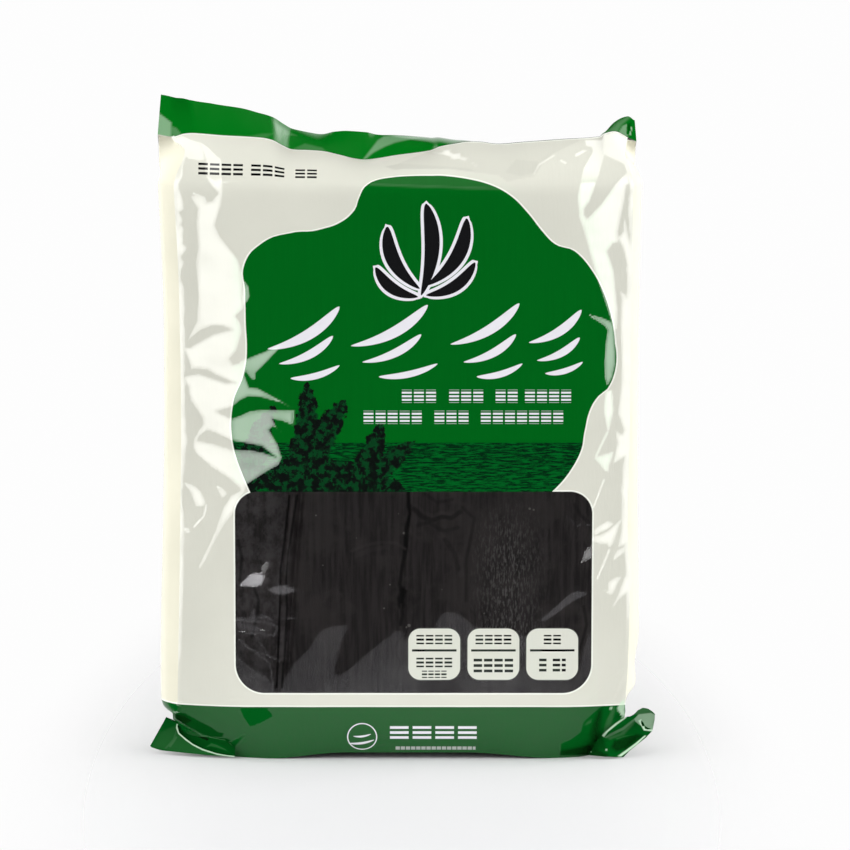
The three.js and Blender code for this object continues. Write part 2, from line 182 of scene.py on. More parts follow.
FACETS = [
    [(-143, 385), (-136.5, 386.5), (-130.5, 384), (-125.5, 382.5), (-123.5, 376.5), (-123, 371.5),
     (-127.5, 371.5), (-133, 372.5), (-137, 378)],
    [(-125.5, 383), (-120.5, 379.5), (-116.5, 375.5), (-112.5, 372), (-111.5, 362), (-111.5, 351.5),
     (-112.5, 343.5), (-116.5, 331), (-113, 323.5), (-102, 310), (-99.5, 300), (-98.5, 279.5),
     (-103.5, 274.5), (-100.5, 270), (-99.5, 265), (-103, 253), (-107.5, 247.5), (-105, 244), (-101, 245),
     (-99.5, 247), (-96, 248), (-85, 252.5), (-75.5, 257), (-75.5, 255), (-84.5, 245.5), (-91, 239),
     (-91, 235), (-93.5, 235.5), (-97, 240), (-98, 238), (-95, 230), (-89.5, 229.5), (-74.5, 221.5),
     (-67, 216.5), (-74.5, 220.5), (-87, 224), (-95.5, 224.5), (-100.5, 222), (-106, 217.5), (-111.5, 216),
     (-115.5, 214.5), (-111.5, 212), (-106, 210), (-100.5, 212), (-94.5, 215), (-87, 216), (-67, 216),
     (-67.5, 206.5), (-74.5, 209.5), (-80.5, 210.5), (-77.5, 204.5), (-74, 202), (-80, 206), (-82.5, 203.5),
     (-77, 194.5), (-74.5, 186.5), (-76.5, 182), (-83, 178.5), (-96, 170), (-98.5, 165), (-100.5, 161.5),
     (-105, 152.5), (-111.5, 143), (-116.5, 134.5), (-122.5, 122), (-125.5, 117.5), (-126.5, 118),
     (-121, 129), (-116, 140), (-110.5, 155.5), (-106, 162.5), (-100, 165.5), (-100.5, 167.5),
     (-106.5, 172.5), (-119, 180.5), (-128, 188), (-130, 192), (-129.5, 196.5), (-126.5, 202), (-123.5, 206),
     (-124, 210), (-131.5, 221.5), (-133, 229.5), (-136, 234.5), (-131, 242), (-135.5, 253), (-131.5, 262.5),
     (-127.5, 270.5), (-126.5, 284.5), (-128, 308), (-126.5, 317), (-127.5, 333), (-126.5, 341),
     (-131, 348.5), (-128, 349), (-131, 351.5), (-122.5, 348.5), (-121.5, 345), (-118, 346), (-113.5, 351),
     (-117.5, 355), (-122.5, 363), (-121.5, 371.5)],
    [(-135.5, 170), (-130.5, 168.5), (-125.5, 165.5), (-122.5, 159), (-123, 156), (-126, 156), (-128, 156.5),
     (-131.5, 165)],
    [(-115.5, 168.5), (-112.5, 167.5), (-108.5, 164), (-111.5, 161)],
    [(-135.5, 142.5), (-132.5, 142), (-132, 139.5), (-134, 139.5)],
    [(-109, 36), (-98, 38.5), (-97, 36.5), (-99.5, 33.5), (-104, 34)],
    [(-101, 106.5), (-96, 112.5), (-92.5, 115), (-87.5, 115), (-87, 119), (-83.5, 122.5), (-82.5, 121.5),
     (-83, 118), (-85.5, 114.5), (-85, 110.5), (-87.5, 107), (-92, 105.5)],
    [(-142, 361.5), (-140.5, 356.5), (-138, 351.5), (-136.5, 346.5), (-136, 341), (-139, 338.5),
     (-136.5, 334), (-138, 330.5), (-135.5, 328.5), (-137, 324), (-137, 319.5), (-134, 316), (-138, 310.5),
     (-136, 307.5), (-138, 302.5), (-138.5, 296.5), (-136.5, 293), (-138, 284.5), (-139, 282), (-137, 274.5),
     (-135.5, 271), (-137, 266), (-139, 265.5), (-139.5, 315.5), (-141.5, 346.5)],
    [(114, 384), (114.5, 380.5), (118.5, 379.5), (119, 376.5), (113.5, 366.5), (110.5, 354), (109.5, 349),
     (110.5, 336.5), (114, 326), (116.5, 316.5), (122, 297.5), (126, 286), (131.5, 268.5), (134, 266),
     (134, 280.5), (132, 303), (128, 314.5), (131.5, 319.5), (135, 320.5), (134.5, 326.5), (138.5, 345),
     (140, 356), (141.5, 356.5), (141, 364), (138.5, 361.5), (132, 354.5), (124.5, 344), (122, 341.5),
     (115.5, 335), (113.5, 337.5), (113.5, 341), (117, 346), (123, 363), (126, 374.5), (124, 380),
     (125.5, 384)],
    [(108, 374), (108, 375.5), (113, 378), (115.5, 377.5), (109.5, 374)],
    [(148.5, 365), (149, 135), (146, 122.5), (144.5, 113), (139.5, 113), (141, 130), (140, 132), (135, 131),
     (137, 141), (137.5, 160), (136, 170), (137.5, 167.5), (137.5, 178.5), (139, 187), (132, 183),
     (134.5, 195.5), (133.5, 203), (136, 201), (137.5, 201), (138.5, 203.5), (135, 213.5), (137, 231.5),
     (137, 256.5), (136.5, 267), (137, 284.5), (136.5, 290), (140, 286), (141.5, 301.5), (138.5, 315.5),
     (135, 323), (138.5, 326.5), (138.5, 336), (142, 321.5), (144.5, 316.5), (144.5, 343.5), (141.5, 346.5),
     (144, 356), (144, 365)],
    [(127, 227.5), (126, 222), (126, 214.5), (128, 204.5), (128.5, 202), (130, 207), (132, 216),
     (131, 228.5)],
    [(119.5, 186.5), (132, 190), (129, 181), (128.5, 177.5), (126.5, 178.5)],
    [(118.5, 137), (123.5, 138), (129, 141), (136.5, 147.5), (133.5, 138), (131.5, 133), (129.5, 130.5),
     (128, 132.5), (123.5, 133), (118.5, 134.5)],
    [(119.5, 141), (124, 144.5), (128.5, 147), (131.5, 145), (128.5, 142), (120.5, 138.5)],
    [(128.5, 107.5), (129.5, 109.5), (134, 112), (136.5, 112), (134, 108), (132.5, 104), (131, 101.5),
     (128.5, 102), (125.5, 104), (129, 103.5)],
    [(142.5, 112), (143.5, 104), (137, 100), (134, 97), (132, 93.5), (131.5, 94), (133.5, 97.5),
     (136.5, 105.5), (139, 112)],
    [(134, 128), (139.5, 131), (140, 129.5), (136, 125.5), (132, 122.5), (132.5, 125)],
    [(118.5, 132), (114.5, 129.5), (111, 120.5), (118.5, 124.5)],
    [(115.5, 276.5), (118.5, 275), (124.5, 273.5), (130.5, 270.8), (132, 268), (133, 252), (133, 244.5),
     (131, 236.5), (128, 231), (126.5, 236.5), (126.3, 245.5), (127, 257.5), (128.3, 265.5), (126.5, 268.5),
     (122, 271.5), (118.5, 273.5)],
    [(-98.5, 297.5), (-95, 292.5), (-94.5, 286.5), (-96.5, 283), (-99, 282)],
    [(13, 376.8), (24.7, 376.2), (26.7, 378.1), (30.5, 378.1), (31.8, 375.5), (36.3, 376.2), (37.6, 373.6),
     (40.8, 372.9), (40.2, 370.4), (35.7, 372.3), (31.8, 371.6), (29.9, 373.6), (25.4, 374.9),
     (18.3, 375.5)],
]
# Facets that lean further out and so catch less light.
DIM_FACETS = [
    [(125.5, 387.5), (133.5, 389), (141, 384.5), (146, 383), (148.5, 371.5), (144.5, 359), (141, 367.5),
     (136, 370.5), (126, 375), (124, 380)],
]

# Slits: creases inside the facets that still face forwards.
SLITS = [
    [(-136, 253.5), (-135.5, 257), (-131.5, 260.5), (-126, 265.5), (-118.5, 268.5), (-112.5, 268.5),
     (-105.5, 266), (-117.5, 262.5), (-128, 256.5), (-131.5, 254)],
    [(-138, 235), (-130.5, 241.5), (-121.5, 241), (-115.5, 237.5), (-103.5, 232.5), (-110, 232.5),
     (-118, 235), (-126.5, 237.5), (-131.5, 236.5)],
    [(-128.5, 195.5), (-126.5, 199), (-121.5, 203), (-111, 199), (-105.5, 196.5), (-87, 193.5), (-78.5, 187),
     (-87, 189.5), (-94.5, 190.5), (-106, 190.5), (-119, 194)],
]
# Ridges: thin creases between two points, each with its width.
RIDGES = [
    ((82.3, 362.6), (85.2, 368.5), 0.8), ((85.2, 368.5), (95.4, 374.8), 1), ((44, 370), (47, 367.5), 0.8),
    ((-112, 357.5), (-97, 360), 0.6), ((-121.5, 157), (-123, 150), 1), ((-123, 150), (-129.5, 143), 0.9),
    ((128.5, 203), (120.5, 186.5), 1.5), ((126, 173), (119, 154.5), 0.9),
    ((129.5, 129.5), (121.5, 110.5), 1.2), ((113.5, 32.5), (126, 45.5), 1.1),
    ((126, 45.5), (142.5, 59), 1.2), ((142.5, 59), (132, 36), 1.9), ((98.5, 371.5), (102.5, 369.5), 1.2),
    ((-102.5, 78), (-77, 80), 0.7),
]
# Painted veils and shades, each with its strength. Over the window the film lifts off the kelp in them, and a
# pale veil is painted there in place of reflections. On the shoulder they are painted shade (below 0) or a
# paler painted sheen.
PAINTED_VEILS_AND_SHADES = [
    (-0.07, [(37.6, 388), (81, 390), (128, 392), (94.2, 375.7), (88, 369.8), (82.6, 361.4), (71.2, 359.5),
     (58.1, 355.8), (48.8, 358.3), (23.9, 363.9), (-1, 365.1), (-1, 370), (18, 377.5)]),
    (-0.12, [(71.2, 372), (84.8, 370.7), (84.2, 363.9), (73.6, 361.7), (64.3, 363.9)]),
    (-0.13, [(-10.3, 367.6), (-1, 369.5), (18.9, 368.2), (42.5, 366.4), (45.7, 364.5), (23.9, 365.7),
     (-1, 364.5)]),
    (0.026, [(-22, 356.6), (26, 355), (72, 353.5), (60, 362), (30, 366), (0, 366), (-22, 362)]),
    (0.25, [(-101, 107), (-96, 112), (-92.5, 114.5), (-88, 114.5), (-85.5, 112), (-87.5, 107.5),
     (-92, 106)]),
    (0.029, [(-103, 63.5), (-94.5, 56.5), (-87, 52), (-82, 48), (-78, 40.5), (-91, 39), (-98.5, 44),
     (-103.5, 53)]),
    (0.029, [(-75.5, 36), (-74, 46), (-69.5, 54), (-66.5, 59), (-57.5, 67), (-53, 75.5), (-50, 78.5),
     (-46, 81), (-36.5, 82), (-33.5, 81), (-37, 74), (-39.5, 65.5), (-41.5, 56), (-41, 52), (-38.5, 50.5),
     (-31, 56), (-19, 66.5), (-6.5, 76), (-4, 78.5), (-1, 78.5), (2.5, 73.5), (11.5, 63.5), (20, 73),
     (22, 85), (24.5, 88.5), (28, 90.5), (32, 90.5), (35.5, 89), (47.5, 80), (61, 66.5), (73, 77),
     (77.5, 75.5), (92.5, 60.5), (106.5, 47.5), (107, 36)]),
    (0.029, [(118, 79), (116, 75.5), (113.5, 68), (110.5, 53), (107, 48), (106.5, 36), (122, 36),
     (122, 79)]),
    (0.05, [(86.5, 86), (95.5, 93.5), (104.5, 101.5), (109.5, 103.5), (116, 102), (106, 97), (93.5, 87.5),
     (88.5, 84.5)]),
    (0.085, [(-83, 104.5), (-78, 106.5), (-72, 107), (-65.5, 104), (-72.5, 101.5), (-78, 101.5)]),
    (0.035, [(-102.5, 87.5), (-95, 86.5), (-93, 92), (-91, 92), (-91, 87), (-87, 89.5), (-78, 84.5),
     (-87, 86.5), (-93, 84.5), (-102.5, 85)]),
    (0.035, [(-102.5, 83.5), (-97, 83.5), (-90.5, 81.5), (-87.5, 79.5), (-91, 79), (-100, 79.5)]),
]
# Scratches and fine creases in the film over the window, each with its width, paler partly as real scratches
# and partly as painted highlights; the last is a painted highlight along the shoulder's crease.
SCRATCHES_AND_HIGHLIGHT_LINES = [
    (0.5, [(-102.7, 85.5), (-92.1, 84.6), (-81.8, 83.7), (-77.1, 80.9), (-79, 76.2), (-91.1, 77.1),
     (-101.4, 78.1)]),
    (0.35, [(-101.4, 73.4), (-81.8, 58.5), (-79.9, 43.5)]),
    (0.35, [(-98.6, 69.3), (-87.4, 65), (-75.3, 60.3)]),
    (0.3, [(-93, 79), (-85.5, 67.8), (-81.8, 62.2)]),
    (0.3, [(102.9, 149.9), (107.6, 145.2), (113.2, 143.9), (117.9, 145.2)]),
    (0.3, [(-74.3, 87.4), (-65, 86.1), (-53.8, 86.1)]),
    (0.8, [(-19.5, 356.4), (25, 354.8), (70.5, 353.3)]),
]
# Folds at the foot's corners: how far each faces sideways and up, its painted light (above 0 a painted
# highlight or reflection, below 0 painted shade in the fold), the softness of its edge, and its outline.
FOOT_FOLDS = [
    (0, 0.22, 0, 0.5, [(-140.3, 34.6), (-135.2, 34.5), (-135.7, 32), (-139.2, 32.2)]),
    (0, 0.22, 0, 0.5, [(-100.6, 30.6), (-83.7, 30.2), (-79.9, 25.9), (-87, 21.7), (-94, 18.9),
     (-97.9, 24.3)]),
    (0, 0.22, -0.35, 0.6, [(-141, 29.1), (-133.9, 27.2), (-126.2, 23), (-118.5, 19.2), (-114.6, 16.3),
     (-110.1, 15.6), (-110.6, 12.6), (-114.6, 12.3), (-119.7, 13.1), (-123.6, 14.4), (-128.7, 16.9),
     (-133.9, 19.5), (-140.3, 23.4), (-142.1, 24.8)]),
    (0, 0.22, -0.75, 1.2, [(-140.3, 27.2), (-135.2, 26.2), (-130.7, 23), (-133.9, 20.5), (-139.7, 23.7)]),
    (0, 0.22, -0.1, 0.4, [(-108.2, 9.5), (-101.7, 12.4), (-97.2, 14.7), (-96.6, 14.2), (-98.2, 12.4),
     (-101.7, 8.2), (-104.2, 5.7), (-105.9, 8.6)]),
    (0, 0.1, 0.05, 0.3, [(-127.5, 16.1), (-123.6, 14.5), (-118.5, 12.6), (-114.6, 12), (-109.5, 10.9),
     (-109.3, 10.3), (-114.6, 11.2), (-118.5, 11.6), (-123.9, 13.5)]),
    (0, 0.1, 0.12, 0.3, [(-108.2, 9), (-106.6, 9.2), (-105, 7), (-103.7, 4.1), (-104.6, 4.4),
     (-106.1, 6.6)]),
    (0, 0.1, 0.45, 0.3, [(-142.8, 28.9), (-140.4, 28.6), (-139.5, 27.7), (-141.6, 27.1)]),
    (-0.02, 0.25, 0, 0.8, [(126.5, 33), (134.6, 34.1), (138.3, 32.3), (139.7, 25.5), (139.6, 15.5),
     (135.8, 1.9), (98.5, 1.2), (98.5, 8.7), (104.7, 11.2), (110.9, 15.5), (112.8, 21.8), (119, 27.4)]),
    (0, 0.25, -0.6, 1.5, [(122.1, 29.2), (125.2, 31.1), (124.6, 26.1), (123.4, 16.8), (124.3, 9.3),
     (125.9, 6.8), (122.1, 6.2), (118.4, 9.3), (117.2, 14.9), (119, 21.1)]),
    (0, 0.25, -0.65, 1.2, [(98.5, 4.4), (110.9, 6.7), (117.2, 8.4), (122.1, 5.9), (127.7, 4.4), (128.4, 1.2),
     (98.5, 1.2)]),
    (0, 0.25, 0.04, 0.5, [(114, 20.8), (116.5, 23.1), (119, 23.6), (118.4, 21.9), (115.3, 20.5)]),
    (0, 0.25, 0.03, 0.5, [(118.4, 8.7), (120.9, 9.9), (124.6, 8.1), (125.2, 6.8), (122.1, 7.8)]),
    (0, 0.25, 0.6, 0.3, [(117.2, 4), (118.3, 4), (118.3, 3.1), (117.3, 3.1)]),
    (0, 0.25, 0.6, 0.3, [(126.8, 5.6), (128, 5.4), (127.9, 4.2), (126.6, 4.2)]),
    (0, 0.25, 0.6, 0.3, [(129.6, 30.8), (131.3, 31.7), (131.2, 30.6), (129.9, 29.9)]),
    (0, 0.25, 0.04, 0.5, [(124.5, 14.3), (125.4, 16.8), (127.7, 23.6), (131.5, 31.4), (132.8, 33.6),
     (132.4, 28), (130.2, 19.9), (127.2, 14.3), (125.9, 13.6)]),
    (0, 0.25, 0.7, 0.3, [(124.6, 13.7), (127.7, 16.8), (133.3, 21.6), (139.7, 25.5), (140, 24.9),
     (134, 20.6), (128.4, 16), (125.9, 12.7)]),
    (0, 0.1, 0.6, 0.4, [(133.6, 29.9), (135.8, 33.9), (138.3, 36.2), (138.8, 32.3), (138.3, 29.9),
     (139.2, 26.7), (139.9, 25.4), (137.1, 25.4), (135.8, 27.1), (135.2, 29.2)]),
    (0, 0.25, -0.3, 0.4, [(134, 27.7), (135.7, 27.1), (136.4, 25.2), (134.3, 23.9), (132.4, 24.3)]),
]

# How far each kind of facet leans, how wide its rim is, and how soft its edge. Rims meet the brightest light.
SIDE_LEAN = 0.3
SHOULDER_LEAN = 0.42
DIM_LEAN = 0.36
RIM_LEAN = 0.195
SHOULDER_RIM_LEAN = 0.2
RIM_WIDTH = 2.6
CREASE_EDGE = 0.5
# The plain film's own lean: in the strips beside its edges, towards the window, and in slow swells.
STRIP_LEAN = 0.03
WINDOW_LEAN = 0.05
SWELL_LEAN = 0.012
FACET_SWELL = 0.05
# Facets stay clear of the pack's edge by an uneven streak.
STREAK_WIDTH = 2.4
STREAK_SWAY = 1.6
# Painted sheen, in place of reflected light, where a facet lies over the green field, from a little inside
# its edge, and paleness along a scratch, partly a painted highlight.
FACET_PAINTED_SHEEN = 0.22
SHEEN_INSET = 0.3
SCRATCH_AND_HIGHLIGHT_PALENESS = 0.04
# How far the flat film swells, in millimetres.
FILM_SWELL = 0.2


def segment_distance(start, end, x, z):
    """Distance to the straight line between two points."""
    (ax, az), (bx, bz) = start, end
    dx, dz = bx - ax, bz - az
    along = np.clip(((x - ax) * dx + (z - az) * dz) / max(dx * dx + dz * dz, 1e-9), 0, 1)
    return np.hypot(x - ax - along * dx, z - az - along * dz)


def line_distance(points, x, z):
    """Distance to a line through a few points."""
    nearest = np.full(x.shape, 99.0)
    for start, end in zip(points[:-1], points[1:]):
        nearest = np.minimum(nearest, segment_distance(start, end, x, z))
    return nearest


def outline_distance(points, x, z):
    """Signed distance to a closed outline, negative inside and 3 at most."""
    corners = np.array(points, float)
    (x0, z0), (x1, z1) = corners.min(0) - 3, corners.max(0) + 3
    out = np.full(x.shape, 3.0)
    near = (x > x0) & (x < x1) & (z > z0) & (z < z1)
    px, pz = x[near], z[near]
    nearest = np.full(px.shape, 3.0)
    inside = np.zeros(px.shape, bool)
    for start, end in zip(corners, np.roll(corners, -1, 0)):
        nearest = np.minimum(nearest, segment_distance(start, end, px, pz))
        (ax, az), (bx, bz) = start, end
        if bz != az:
            inside ^= ((az > pz) != (bz > pz)) & (px < ax + (pz - az) * (bx - ax) / (bz - az))
    out[near] = np.where(inside, -nearest, nearest)
    return out


def nearest_of(outlines, x, z):
    """Signed distance to the nearest of several outlines."""
    distance = np.full(x.shape, 3.0)
    for outline in outlines:
        distance = np.minimum(distance, outline_distance(outline, x, z))
    return distance


def ridge_distance(start, end, width, x, z):
    """Signed distance to a lens between two points."""
    (x0, z0), (x1, z1) = start, end
    length = math.hypot(x1 - x0, z1 - z0)
    ux, uz = (x1 - x0) / length, (z1 - z0) / length
    along = ((x - x0) * ux + (z - z0) * uz) / length
    side = (z - z0) * ux - (x - x0) * uz
    half = width / 2 * np.clip(16 * along * (1 - along), 0, 1) ** 0.5
    beyond = np.maximum(np.abs(along - 0.5) - 0.5, 0) * length
    return np.hypot(np.maximum(np.abs(side) - half, 0), beyond) - np.maximum(half - np.abs(side), 0)


def soften(values, rows, columns):
    """Evens a grid out with a small bell-shaped weight along its rows and columns."""
    for axis, spread in ((0, rows), (1, columns)):
        reach = int(math.ceil(3 * spread))
        if reach:
            weights = np.exp(-0.5 * (np.arange(-reach, reach + 1) / spread) ** 2)
            weights /= weights.sum()
            pad = [(reach, reach) if a == axis else (0, 0) for a in (0, 1)]
            padded = np.pad(values, pad, mode="edge")
            values = sum(w * np.take(padded, np.arange(k, k + values.shape[axis]), axis=axis)
                         for k, w in enumerate(weights))
    return values


WAVES_OF_A_SIZE = 9


def waves(x, z, seed, sizes):
    """Uneven swells: a seeded sum of plane waves for each size, between about -1 and 1."""
    draw = np.random.default_rng(seed)
    total = np.zeros(np.shape(x))
    for size in sizes:
        for _ in range(WAVES_OF_A_SIZE):
            turn, phase = draw.uniform(0, math.pi), draw.uniform(0, 2 * math.pi)
            k = 2 * math.pi / (size * draw.uniform(0.7, 1.4))
            total += np.sin(k * (x * math.cos(turn) + z * math.sin(turn)) + phase) * size / sizes[0]
    return total / (WAVES_OF_A_SIZE ** 0.5 * 1.6)


# The creases were drawn from the front, by an eye at this distance that looks down by the rise at the aim.
VIEW_DISTANCE = 2200
VIEW_RISE = math.radians(7)
VIEW_AIM = 200


def from_front(points):
    """Where points appear across and up, in millimetres at the middle of the pack, from the front."""
    ahead = points[..., 1] + VIEW_DISTANCE * math.cos(VIEW_RISE)
    above = points[..., 2] - VIEW_AIM - VIEW_DISTANCE * math.sin(VIEW_RISE)
    nearer = VIEW_DISTANCE / (ahead * math.cos(VIEW_RISE) - above * math.sin(VIEW_RISE))
    return (points[..., 0] * nearer,
            VIEW_AIM + (ahead * math.sin(VIEW_RISE) + above * math.cos(VIEW_RISE)) * nearer)


def grid_normals(points):
    """The direction that a grid of points faces, at each point."""
    normal = np.cross(np.gradient(points, axis=1), np.gradient(points, axis=0))
    return normal / np.maximum(np.linalg.norm(normal, axis=2, keepdims=True), 1e-9)


def inside_of(distance, soft):
    """1 inside an outline and 0 outside it, by the distance to it and the softness of its edge."""
    return ease(0.5 - distance / (2 * soft))


def folded(points, normal, painted_light, folds, where=1.0):
    """Turns a grid's normals and changes its painted light and shade inside each fold's outline."""
    across, up = from_front(points)
    for side, rise, painted_amount, soft, outline in folds:
        inside = where * inside_of(outline_distance(outline, across, up), soft)
        normal = mix(normal, np.array([side, -1, rise]), inside[:, :, None])
        painted_light = mix(painted_light, painted_amount, inside)
    return normal / np.linalg.norm(normal, axis=2, keepdims=True), painted_light


def crease_lean(x, z, on_shoulder):
    """How far the film leans out sideways and up at each place, and the distance to its facets."""
    leaning = nearest_of(FACETS, x, z)
    for ridge_ends in RIDGES:
        leaning = np.minimum(leaning, ridge_distance(*ridge_ends, x, z))
    leaning = np.maximum(leaning, -nearest_of(SLITS, x, z))
    edge_room = np.where(x < 0, x - x[:, :1], x[:, -1:] - x)
    streaks = STREAK_WIDTH + STREAK_SWAY * waves(x * 0.5, z, 12, (26, 9, 5)) * ease((z - 110) / 60)
    leaning = np.minimum(leaning, edge_room - streaks)

    strip = STRIP_LEAN * ease((np.abs(SHARES) - 0.62) / 0.3)[None, :]
    restless = ease((np.abs(SHARES) - 0.35) / 0.4)[None, :]
    out = strip + SWELL_LEAN * waves(x, z, 3, (34, 19, 11)) * restless
    # A facet turns quickly to its rim's lean and then slowly to its own.
    own_lean = mix(SIDE_LEAN, SHOULDER_LEAN, on_shoulder) + FACET_SWELL * waves(x, z, 8, (25, 9))
    facet_lean = mix(RIM_LEAN + SHOULDER_RIM_LEAN * on_shoulder, own_lean, ease(-leaning / RIM_WIDTH))
    out = mix(out, facet_lean, inside_of(leaning, CREASE_EDGE))
    out = mix(out, DIM_LEAN, inside_of(nearest_of(DIM_FACETS, x, z), CREASE_EDGE))
    out = out * np.where(SHARES < 0, -1, 1)[None, :]
    up = SWELL_LEAN * waves(x, z, 4, (60, 25)) + on_shoulder * 0.05 * waves(x * 0.35, z, 6, (14, 6))
    return out, up, leaning


def crease_painted_light(x, z, leaning, on_shoulder):
    """The face's painted light and shade: sheen over facets on the green field, veils and shades in hollows,
    and paleness along scratches.
    """
    over_field = ease((x + 108) / 6) * ease((136 - x) / 6) * ease((z - 169) / 2)
    painted_light = FACET_PAINTED_SHEEN * inside_of(leaning + SHEEN_INSET, CREASE_EDGE) * over_field * (1 - on_shoulder)
    for painted_veil, outline in PAINTED_VEILS_AND_SHADES:
        painted_light = mix(painted_light, painted_veil, inside_of(outline_distance(outline, x, z), CREASE_EDGE))
    for width, points in SCRATCHES_AND_HIGHLIGHT_LINES:
        painted_light = painted_light + SCRATCH_AND_HIGHLIGHT_PALENESS * ease(1.5 - line_distance(points, x, z) / width)
    return painted_light


def creased(grid, front):
    """A face of the pack with its creases: its points, the way it is turned at each, and its painted light
    and shade.
    """
    seen_x, seen_z = from_front(grid)
    on_shoulder = np.array([0 if kind == "block" else ease(place * 4) for kind, place in ROWS])[:, None]
    lean_out, lean_up, leaning = crease_lean(seen_x, seen_z, on_shoulder)
    painted_light = np.zeros(seen_x.shape)
    if front:
        painted_light = crease_painted_light(seen_x, seen_z, leaning, on_shoulder)
        over_window = ease((seen_x + 106) / 4) * ease((121 - seen_x) / 4) * ease((seen_z - 38) / 3)
        lean_up += WINDOW_LEAN * over_window * ease((165 - seen_z) / 60)
    normal = np.stack([soften(part, 3.5, 0) for part in np.moveaxis(grid_normals(grid), 2, 0)], 2)
    normal[:, :, 0] = lean_out
    normal[:, :, 2] += lean_up

    # The relief itself: the leaning summed up from the middle outwards, evened out up the face.
    middle_column = int(np.searchsorted(SHARES, 0))
    half_sums = (lean_out[:, 1:] + lean_out[:, :-1]) / 2 * np.diff(grid[:, :, 0], axis=1)
    relief = np.zeros(seen_x.shape)
    relief[:, 1:] = np.cumsum(half_sums, axis=1)
    relief = soften(relief - relief[:, middle_column:middle_column + 1], 11, 1.5)
    relief += FILM_SWELL * waves(seen_x, seen_z, 5, (60, 33))
    foot_fade = np.array([ease(place / FOOT_TOP) if kind == "block" else 1 - ease(place * 1.2)
                          for kind, place in ROWS])[:, None]
    points = grid.copy()
    points[:, :, 1] += relief * foot_fade
    normal, painted_light = folded(points, normal, painted_light, FOOT_FOLDS if front else [])
    return points, normal, painted_light


# The back is creased as the face is, seen turned round.
turned = np.array([-1, -1, 1])
face, face_normal, face_painted_light = creased(face, True)
back, back_normal, _ = creased(back[:, ::-1] * turned, False)
back, back_normal = back[:, ::-1] * turned, back_normal[:, ::-1] * turned

# ---------------------------------------------------------------------------------------------
# The printed face. Plastic film, printed on ivory with a green field, a sea, weed and crests of waves, and
# with a green band across the foot and the top. It is made as four pieces round the window's panel. Its UV
# map is the place on the flat film, in metres.


def grid_mesh(name, points, uv, flip=False, normals=None, painted_light=None):
    """A grid of points, in millimetres, as a mesh in metres with the flat film's place as its UV map."""
    rows, columns = points.shape[:2]
    index = np.arange(rows * columns).reshape(rows, columns)
    quads = np.stack([index[:-1, :-1], index[:-1, 1:], index[1:, 1:], index[1:, :-1]], 2).reshape(-1, 4)
    if flip:
        quads = quads[:, ::-1]
    mesh = bpy.data.meshes.new(name)
    mesh.from_pydata((points.reshape(-1, 3) / 1000).tolist(), [], quads.tolist())
    layer = mesh.uv_layers.new(name="flat")
    flat = (uv.reshape(-1, 2) / 1000 + (0.5, 0)).astype(np.float32)
    layer.data.foreach_set("uv", flat[quads.reshape(-1)].reshape(-1))
    # The painted light and shade goes on the mesh as an attribute: above 0 a painted highlight, below 0
    # painted shade.
    if painted_light is not None:
        values = mesh.attributes.new("painted_light", "FLOAT", "POINT").data
        values.foreach_set("value", painted_light.reshape(-1).astype(np.float32))
    mesh.polygons.foreach_set("use_smooth", np.ones(len(quads), bool))
    if normals is not None:
        mesh.normals_split_custom_set_from_vertices(normals.reshape(-1, 3).tolist())
    piece = bpy.data.objects.new(name, mesh)
    bpy.context.scene.collection.objects.link(piece)
    return piece


def is_film(piece, material):
    """Gives a piece of film its material and its body, and hides the solid it stands for."""
    piece.data.materials.append(material)
    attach(piece, "root")
    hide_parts("film_pack")


face_uv = np.stack([face[:, :, 0], np.repeat(flat_height[:, None], len(SHARES), 1)], 2)

# The window's edges on the flat film, and the panel round it: its rows by height, its columns by place.
WINDOW = dict(left=-102.7, right=117.5, bottom=43, top=168.9, corner_top=14, corner_bottom=18)
PANEL_HEIGHTS = (37, 173)
PANEL_SIDES = (-110, 126)
LEVEL_ROW = 100
foot_row, top_row = np.searchsorted(flat_height, PANEL_HEIGHTS)
left_column, right_column = np.searchsorted(face[LEVEL_ROW, :, 0], PANEL_SIDES)
panel_rows = slice(foot_row, top_row + 1)
panel_columns = slice(left_column, right_column + 1)


def face_piece(name, rows, columns, material):
    """A part of the face. Neighbours share the row or column where they meet."""
    piece = grid_mesh(name, face[rows, columns], face_uv[rows, columns], normals=face_normal[rows, columns],
                      painted_light=face_painted_light[rows, columns])
    is_film(piece, material)


class Wire:
    """A value in a material's node tree that takes part in arithmetic as a number does."""

    def __init__(self, tree, socket=None):
        self.tree, self.socket = tree, socket

    def node(self, kind, settings=None, inputs=None, out=0):
        made = self.tree.nodes.new(kind)
        for name, value in (settings or {}).items():
            setattr(made, name, value)
        for key, value in (inputs or {}).items():
            if isinstance(value, Wire):
                self.tree.links.new(value.socket, made.inputs[key])
            else:
                made.inputs[key].default_value = value
        return Wire(self.tree, made.outputs[out] if made.outputs else None)

    def math(self, operation, *values):
        return self.node("ShaderNodeMath", {"operation": operation}, dict(enumerate(values)))

    def __add__(self, other):
        return self.math("ADD", self, other)

    def __radd__(self, other):
        return self.math("ADD", other, self)

    def __sub__(self, other):
        return self.math("SUBTRACT", self, other)

    def __rsub__(self, other):
        return self.math("SUBTRACT", other, self)

    def __mul__(self, other):
        return self.math("MULTIPLY", self, other)

    def __rmul__(self, other):
        return self.math("MULTIPLY", other, self)

    def __truediv__(self, other):
        return self.math("DIVIDE", self, other)

    def __pow__(self, other):
        return self.math("POWER", self, other)

    def __neg__(self):
        return self.math("MULTIPLY", self, -1)

    def __abs__(self):
        return self.math("ABSOLUTE", self)


def least(a, b):
    return a.math("MINIMUM", a, b)


def most(a, b):
    return a.math("MAXIMUM", a, b)


